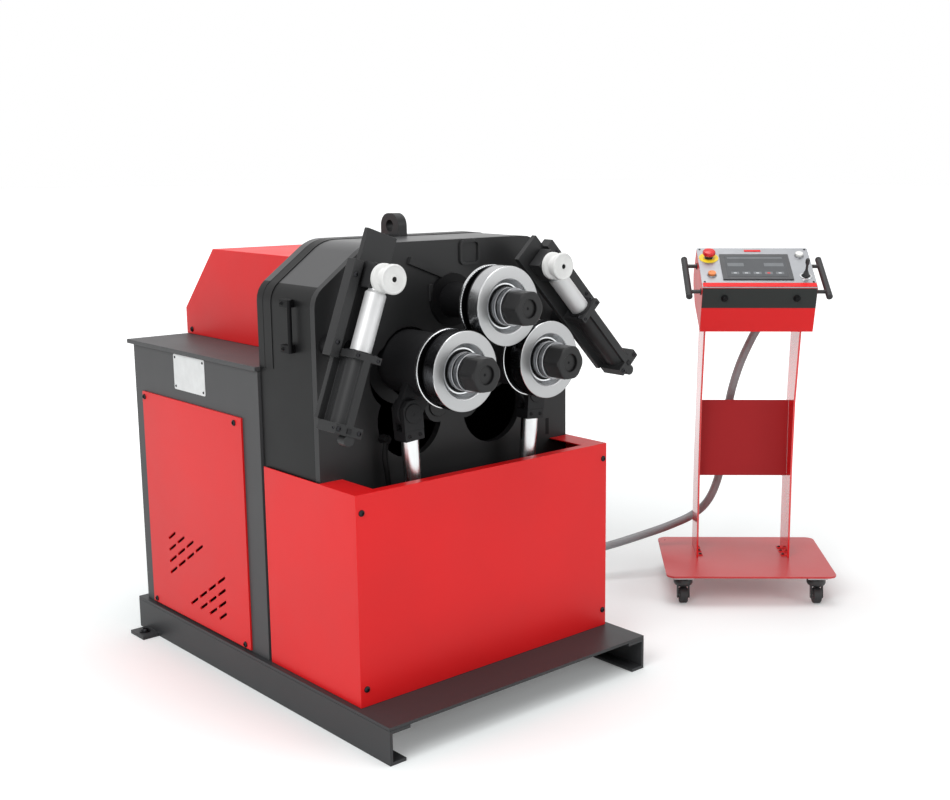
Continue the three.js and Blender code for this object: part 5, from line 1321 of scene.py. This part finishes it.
def build_screen():
    """A dark screen in its bezel with plain generic tiles."""
    bm = bmesh.new()
    low, high = SCREEN_RANGE
    middle = (low + high) / 2
    top = PANEL_TOP + 0.0003
    add_block(bm, panel_at(0, middle, top + 0.002), (SCREEN_WIDTH, high - low, 0.004), PANEL_AXES, 0.0012)
    add_block(bm, panel_at(0, middle, -0.011), (BODY_WIDTH, high - low - 0.008, 0.028), PANEL_AXES)
    face = top + 0.0041
    add_block(bm, panel_at(0, middle, face), GLASS_SIZE, PANEL_AXES, 0, 1)
    make_piece("touch_screen_visual", bm, "console", ["bezel", "screen"], "touch_screen")
    bm = bmesh.new()
    tile = face + 0.0004
    add_block(bm, panel_at(0, high - 0.026, tile), BAR_SIZE, PANEL_AXES, 0)
    for across, width in FIELDS:
        add_block(bm, panel_at(across, middle + 0.008, tile), (width, 0.020, 0.0004), PANEL_AXES, 0)
    for key in range(-2, 3):
        across, up = key * KEY_PITCH, low + 0.033
        add_block(bm, panel_at(across, up, tile), KEY_SIZE, PANEL_AXES, 0)
        finish = 2 if key == RED_KEY else 1
        add_block(bm, panel_at(across, up, tile + 0.0003), KEY_MARK, PANEL_AXES, 0, finish)
    make_piece("screen_tiles", bm, "console", ["tile", "tile_light", "stop"])


JOYSTICK_SPOT = (0.145, 0.062)
JOYSTICK_PROFILE = [
    (-0.0128, 0.0), (-0.0110, 0.0068), (-0.0060, 0.0105), (0.0, 0.0112), (0.0055, 0.0102),
    (0.0065, 0.0090), (0.0095, 0.0084), (0.0105, 0.0094), (0.0130, 0.0086), (0.0150, 0.0066),
    (0.0165, 0.0074), (0.0190, 0.0062), (0.0210, 0.0048), (0.0230, 0.0052), (0.0260, 0.0040),
    (0.0420, 0.0037), (0.0450, 0.0056), (0.0500, 0.0066), (0.0580, 0.0066), (0.0625, 0.0052),
    (0.0645, 0.0),
]
JOYSTICK_BEZEL = [(0, 0.0138), (0, 0.0190), (0.0022, 0.0184), (0.0026, 0.0138)]


def build_joystick():
    """Ribbed boot and slim lever in a bright bezel."""
    bm = bmesh.new()
    turn(bm, JOYSTICK_PROFILE, panel_at(*JOYSTICK_SPOT, 0.0018), PANEL_OUT, 40)
    make_piece("joystick_visual", bm, "joystick", "rubber", "joystick")
    bm = bmesh.new()
    turn_ring(bm, JOYSTICK_BEZEL, panel_at(*JOYSTICK_SPOT, SEAT), PANEL_OUT, 48)
    make_piece("joystick_bezel", bm, "console", "edge")


# Casters

HOOD_TOP = 0.0797
HOOD_PROFILE = [
    (0, 0.0), (0, 0.0215), (-0.003, 0.0275), (-0.008, 0.0298), (-0.016, 0.0300), (-0.022, 0.0270),
    (-0.0265, 0.0200), (-0.027, 0.0),
]
CHEEK_FOOT = circle(0, 0, 0.0095, 12, 0, -math.pi)
CHEEK = [(0, 0.045), (0.026, 0.045), (0.012, 0.020), (0.009, 0.004), *CHEEK_FOOT, (-0.009, 0.004)]
CHEEK_ACROSS = 0.0175
CHEEK_THICKNESS = 0.005
AXLE = (0.0205, 0.005)
WHEEL_HALF = 0.0135
WHEEL_PROFILE = [
    (0.002, 0.0056, 1), (0.002, 0.0165, 1), (0.0, 0.0175, 0), (0.0, 0.0215, 0), (0.004, 0.0250, 0),
    (0.023, 0.0250, 0), (0.027, 0.0215, 0), (0.027, 0.0175, 1), (0.025, 0.0165, 1),
    (0.025, 0.0056, 1),
]


def build_caster(name):
    """Round hood with two cheeks and the axle, and the wheel."""
    centre = Vector(joints[f"{name}_swivel"]["pos_m"])
    axle = Vector(joints[f"{name}_wheel_spin"]["pos_m"])
    bm = bmesh.new()
    turn(bm, HOOD_PROFILE, Vector((centre.x, centre.y, HOOD_TOP)), Z, 48)
    for side in (-1, 1):
        outline = CHEEK if side > 0 else [(-a, b) for a, b in reversed(CHEEK)]
        place = axle + ACROSS * (side * CHEEK_ACROSS - side * CHEEK_THICKNESS / 2)
        add_prism(bm, outline, CHEEK_THICKNESS, place, AWAY * side, Z, soft=0.0008)
    reach, radius = AXLE
    add_rod(bm, axle - ACROSS * reach, axle + ACROSS * reach, radius, finish=1, soft=0.0008)
    node = f"{name}_caster"
    make_piece(f"{node}_visual", bm, f"{name}_fork", ["moulded", "steel"], node)
    bm = bmesh.new()
    turn_ring(bm, WHEEL_PROFILE, axle - ACROSS * WHEEL_HALF, ACROSS, 56, 1)
    node = f"{name}_wheel"
    make_piece(f"{node}_visual", bm, node, ["rubber", "moulded"], node)


def build_casters():
    for name in ("front_left", "front_right", "rear_left", "rear_right"):
        build_caster(name)


# Glands, and the hydraulic unit, which keeps its CAD solids with eased edges

GLAND_HEAD = [
    (0, 0), (0, 0.0300), (0.006, 0.0300), (0.008, 0.0280), (0.008, 0.0218),
    (0.018, 0.0218), (0.020, 0.0205), (0.022, 0.0218),
]
GLAND_TAIL = [(0.010, 0.0212), (0.003, 0.0165), (0, 0.0150), (0, 0)]
MACHINE_GLAND_LENGTH = 0.038
CONSOLE_GLAND_LENGTH = 0.042


def build_fittings():
    for node in ("hydraulic_tank", "valve_block"):
        softened(node, "steel", "machine", 0.003)
    softened("pump_motor", "grey", "machine", 0.002)
    low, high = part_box("machine_gland")
    base = Vector((low.x, (low.y + high.y) / 2, (low.z + high.z) / 2))
    build_gland("machine", base, X, MACHINE_GLAND_LENGTH)
    before, last = [machine_at(*point) for point in CONDUIT_ROUTE[-2:]]
    axis = (before - last).normalized()
    build_gland("console", last - axis * (CONSOLE_GLAND_LENGTH + 0.0003), axis, CONSOLE_GLAND_LENGTH)


def build_gland(body, base, axis, length):
    """Flanged gland that grips the conduit's end."""
    bm = bmesh.new()
    profile = GLAND_HEAD + [(length - along, radius) for along, radius in GLAND_TAIL]
    turn(bm, profile, base, axis, 40)
    node = f"{body}_gland"
    make_piece(f"{node}_visual", bm, body, "moulded", node)


# Stage: pale floor, soft light

FLOOR_HALF = 60
FLOOR_HEIGHT = -0.0005
LIGHT_TARGET = (0.3, 0.4, 0.6)
KEY_PLACE, KEY_SIZE_M = (-3.8, -1.2, 3.6), (2.6, 2.6)
TOP_PLACE, TOP_SIZE_M = (0.4, 0.6, 4.6), (3.0, 3.0)
FILL_PLACE, FILL_SIZE_M = (2.4, -4.2, 2.2), (3.0, 2.0)
NEAR_FLOOR = 0.9
FAR_FLOOR = 3.6
FLOOR_RED = 0.965


def add_light(name, place, size, power):
    """Area light that looks at the middle of the machine."""
    data = bpy.data.lights.new(name, "AREA")
    data.shape = "RECTANGLE"
    data.size, data.size_y = size
    data.energy = power
    light = bpy.data.objects.new(name, data)
    light.location = machine_at(*place)
    aim = machine_at(*LIGHT_TARGET) - light.location
    light.rotation_euler = aim.to_track_quat("-Z", "Y").to_euler()
    bpy.context.scene.collection.objects.link(light)


def seen_directly(tree):
    """1 for rays from the camera, from mirrors and through glass, 0 for light on matt surfaces."""
    path = tree.nodes.new("ShaderNodeLightPath")
    first = tree.nodes.new("ShaderNodeMath")
    first.operation = "MAXIMUM"
    second = tree.nodes.new("ShaderNodeMath")
    second.operation = "MAXIMUM"
    tree.links.new(path.outputs["Is Camera Ray"], first.inputs[0])
    tree.links.new(path.outputs["Is Glossy Ray"], first.inputs[1])
    tree.links.new(first.outputs["Value"], second.inputs[0])
    tree.links.new(path.outputs["Is Transmission Ray"], second.inputs[1])
    return second.outputs["Value"]


def floor_material(stage):
    """Matt pale floor: white where nothing shades it, soft shadow near the machine, white far off."""
    pale = (stage.floor * FLOOR_RED, stage.floor, stage.floor)
    material, tree, shader = new_material("pale_floor", pale, 0.6, specular=0.1)
    shader.inputs["Emission Color"].default_value = (1, 1, 1, 1)
    place = tree.nodes.new("ShaderNodeTexCoord")
    away = tree.nodes.new("ShaderNodeVectorMath")
    away.operation = "LENGTH"
    tree.links.new(place.outputs["Object"], away.inputs[0])
    lift = spread(tree, away.outputs["Value"], stage.near_lift, stage.far_lift)
    lift.node.inputs["From Min"].default_value = NEAR_FLOOR
    lift.node.inputs["From Max"].default_value = FAR_FLOOR
    shown = tree.nodes.new("ShaderNodeMath")
    shown.operation = "MULTIPLY"
    tree.links.new(lift, shown.inputs[0])
    tree.links.new(seen_directly(tree), shown.inputs[1])
    tree.links.new(shown.outputs["Value"], shader.inputs["Emission Strength"])
    return material


def build_stage(stage):
    """Floor, white background and three lights."""
    bm = bmesh.new()
    corners = ((-1, -1), (1, -1), (1, 1), (-1, 1))
    bm.faces.new([bm.verts.new((a * FLOOR_HALF, b * FLOOR_HALF, FLOOR_HEIGHT)) for a, b in corners])
    mesh = bpy.data.meshes.new("floor")
    bm.to_mesh(mesh)
    bm.free()
    floor = bpy.data.objects.new("floor", mesh)
    bpy.context.scene.collection.objects.link(floor)
    mesh.materials.append(floor_material(stage))
    world = bpy.data.worlds.new("soft_studio")
    bpy.context.scene.world = world
    world.use_nodes = True
    tree = world.node_tree
    background = tree.nodes["Background"]
    background.inputs["Color"].default_value = (1, 1, 1, 1)
    strength = spread(tree, seen_directly(tree), stage.ambient, 1.0)
    tree.links.new(strength, background.inputs["Strength"])
    add_light("key", KEY_PLACE, KEY_SIZE_M, stage.key_power)
    add_light("top_light", TOP_PLACE, TOP_SIZE_M, stage.top_power)
    add_light("front_fill", FILL_PLACE, FILL_SIZE_M, stage.fill_power)
    bpy.context.scene.view_settings.view_transform = "Standard"


# Add-on: settings, one operator for each group of pieces, and a panel

def colour(name, description, default):
    return bpy.props.FloatVectorProperty(
        name=name, description=description, default=default, subtype="COLOR", size=3, min=0.0, max=1.0,
    )


def length(name, description, default, low, high):
    return bpy.props.FloatProperty(
        name=name, description=description, default=default, unit="LENGTH", min=low, max=high, precision=4,
    )


def power(name, description, default):
    return bpy.props.FloatProperty(name=name, description=description, default=default, unit="POWER", min=0.0)


def share(name, description, default):
    return bpy.props.FloatProperty(
        name=name, description=description, default=default, subtype="FACTOR", min=0.0, max=1.0,
    )


class BenderColours(bpy.types.PropertyGroup):
    """Base colours of the finishes."""

    red: colour("Red", "Powder coat of the covers and the console", (0.7, 0.006, 0.008))
    # The shelf's red, darkened as painted shade.
    dark_red: colour("Dark red", "Powder coat of the console's shelf", (0.36, 0.015, 0.018))
    base_red: colour("Base red", "Glossy coat of the console's base", (0.5, 0.035, 0.038))
    grey: colour("Cabinet grey", "Powder coat of the cabinet and the motor", (0.06, 0.06, 0.062))
    rail: colour("Rail grey", "Powder coat of the base", (0.034, 0.035, 0.037))
    black: colour("Satin black", "Paint of the head and the guides", (0.023, 0.0232, 0.024))
    cast: colour("Casting black", "Paint of the swing arms and clevises", (0.012, 0.012, 0.013))
    white: colour("Nylon white", "Rollers of the lateral guides", (0.68, 0.68, 0.67))
    fascia: colour("Fascia grey", "Brushed fascia of the control panel", (0.4, 0.41, 0.43))


class BenderSizes(bpy.types.PropertyGroup):
    """Sizes of the details that the pieces add to the frame."""

    sheet_edge: length("Sheet edge", "Rounding of the sheet metal covers", 0.0008, 0.0002, 0.003)
    casting_edge: length("Casting edge", "Rounding of the head's plates", 0.0025, 0.0005, 0.006)
    cover_screw: length("Cover screw", "Head diameter of the cover screws", 0.016, 0.006, 0.024)
    guide_screw: length("Guide screw", "Head diameter of the guides' screws", 0.012, 0.004, 0.018)
    plate_corner: length("Plate corner", "Corner radius of the rating plate", 0.005, 0.001, 0.02)
    knurl_teeth: bpy.props.IntProperty(
        name="Knurl teeth", description="Teeth round the rim behind the top roll",
        default=90, min=24, max=180,
    )


class BenderStage(bpy.types.PropertyGroup):
    """Light and floor."""

    ambient: share("Ambient", "Strength of the light from all round", 0.42)
    key_power: power("Key", "Power of the light from the left", 140.0)
    top_power: power("Top", "Power of the light from above", 100.0)
    fill_power: power("Fill", "Power of the light on the front", 66.0)
    floor: share("Floor", "Reflectance of the floor", 0.86)
    near_lift: share("Near lift", "Light that the floor shows of its own near the machine", 0.12)
    far_lift: share("Far lift", "Light that the floor shows of its own far off", 0.8)


class BENDER_OT_materials(bpy.types.Operator):
    """Make the finishes from the colours"""

    bl_idname = "bender.materials"
    bl_label = "Materials"

    def execute(self, context):
        make_materials(context.scene.bender_colours)
        return {"FINISHED"}


class BENDER_OT_camera(bpy.types.Operator):
    """Set the camera at the photograph's viewpoint"""

    bl_idname = "bender.camera"
    bl_label = "Camera"

    def execute(self, context):
        build_camera()
        return {"FINISHED"}


class BENDER_OT_conduit(bpy.types.Operator):
    """Lay the conduit between the machine and the console"""

    bl_idname = "bender.conduit"
    bl_label = "Conduit"

    def execute(self, context):
        build_conduit()
        return {"FINISHED"}


class BENDER_OT_base(bpy.types.Operator):
    """Build the base rails, the deck and the anchor bolts"""

    bl_idname = "bender.base"
    bl_label = "Base"

    def execute(self, context):
        build_base()
        return {"FINISHED"}


class BENDER_OT_covers(bpy.types.Operator):
    """Build the guard, hood, cabinet, vent panel and rating plate"""

    bl_idname = "bender.covers"
    bl_label = "Covers"

    def execute(self, context):
        build_covers(context.scene.bender_sizes)
        return {"FINISHED"}


class BENDER_OT_head(bpy.types.Operator):
    """Build the head with its trim, eye and handle"""

    bl_idname = "bender.head"
    bl_label = "Head"

    def execute(self, context):
        build_head(context.scene.bender_sizes)
        return {"FINISHED"}


class BENDER_OT_rolls(bpy.types.Operator):
    """Build the three rolls with their shafts and lock nuts"""

    bl_idname = "bender.rolls"
    bl_label = "Rolls"

    def execute(self, context):
        build_rolls(context.scene.bender_sizes)
        return {"FINISHED"}


class BENDER_OT_arms(bpy.types.Operator):
    """Build the swing arms and the lift cylinders"""

    bl_idname = "bender.arms"
    bl_label = "Swing arms"

    def execute(self, context):
        build_arms()
        return {"FINISHED"}


class BENDER_OT_guides(bpy.types.Operator):
    """Build the lateral guides with their rods and rollers"""

    bl_idname = "bender.guides"
    bl_label = "Lateral guides"

    def execute(self, context):
        build_guides(context.scene.bender_sizes)
        return {"FINISHED"}


class BENDER_OT_console(bpy.types.Operator):
    """Build the console's base, columns, shelf, box and handles"""

    bl_idname = "bender.console"
    bl_label = "Console"

    def execute(self, context):
        build_console(context.scene.bender_sizes)
        return {"FINISHED"}


class BENDER_OT_controls(bpy.types.Operator):
    """Build the control panel, screen, buttons and joystick"""

    bl_idname = "bender.controls"
    bl_label = "Controls"

    def execute(self, context):
        build_controls()
        return {"FINISHED"}


class BENDER_OT_casters(bpy.types.Operator):
    """Build the four casters"""

    bl_idname = "bender.casters"
    bl_label = "Casters"

    def execute(self, context):
        build_casters()
        return {"FINISHED"}


class BENDER_OT_fittings(bpy.types.Operator):
    """Build the glands and the hydraulic unit"""

    bl_idname = "bender.fittings"
    bl_label = "Fittings"

    def execute(self, context):
        build_fittings()
        return {"FINISHED"}


class BENDER_OT_stage(bpy.types.Operator):
    """Build the floor, the lights and the background"""

    bl_idname = "bender.stage"
    bl_label = "Stage"

    def execute(self, context):
        build_stage(context.scene.bender_stage)
        return {"FINISHED"}


OPERATORS = (
    BENDER_OT_materials, BENDER_OT_camera, BENDER_OT_conduit, BENDER_OT_base, BENDER_OT_covers,
    BENDER_OT_head, BENDER_OT_rolls, BENDER_OT_arms, BENDER_OT_guides, BENDER_OT_console,
    BENDER_OT_controls, BENDER_OT_casters, BENDER_OT_fittings, BENDER_OT_stage,
)


class BENDER_PT_panel(bpy.types.Panel):
    """Settings and one button for each group of pieces"""

    bl_label = "Three-roll bender"
    bl_idname = "BENDER_PT_panel"
    bl_space_type = "VIEW_3D"
    bl_region_type = "UI"
    bl_category = "Bender"

    def draw(self, context):
        scene = context.scene
        for group in (scene.bender_colours, scene.bender_sizes, scene.bender_stage):
            box = self.layout.box()
            for name in group.__annotations__:
                box.prop(group, name)
        for operator in OPERATORS:
            self.layout.operator(operator.bl_idname)


GROUPS = {"bender_colours": BenderColours, "bender_sizes": BenderSizes, "bender_stage": BenderStage}
CLASSES = (*GROUPS.values(), *OPERATORS, BENDER_PT_panel)


def register():
    for cls in CLASSES:
        bpy.utils.register_class(cls)
    for name, group in GROUPS.items():
        setattr(bpy.types.Scene, name, bpy.props.PointerProperty(type=group))


def unregister():
    for name in GROUPS:
        delattr(bpy.types.Scene, name)
    for cls in reversed(CLASSES):
        bpy.utils.unregister_class(cls)


def main():
    register()
    bpy.ops.bender.materials()
    bpy.ops.bender.camera()
    bpy.ops.bender.conduit()
    bpy.ops.bender.base()
    bpy.ops.bender.covers()
    bpy.ops.bender.head()
    bpy.ops.bender.rolls()
    bpy.ops.bender.arms()
    bpy.ops.bender.guides()
    bpy.ops.bender.console()
    bpy.ops.bender.controls()
    bpy.ops.bender.casters()
    bpy.ops.bender.fittings()
    bpy.ops.bender.stage()


if __name__ == "__main__":
    main()
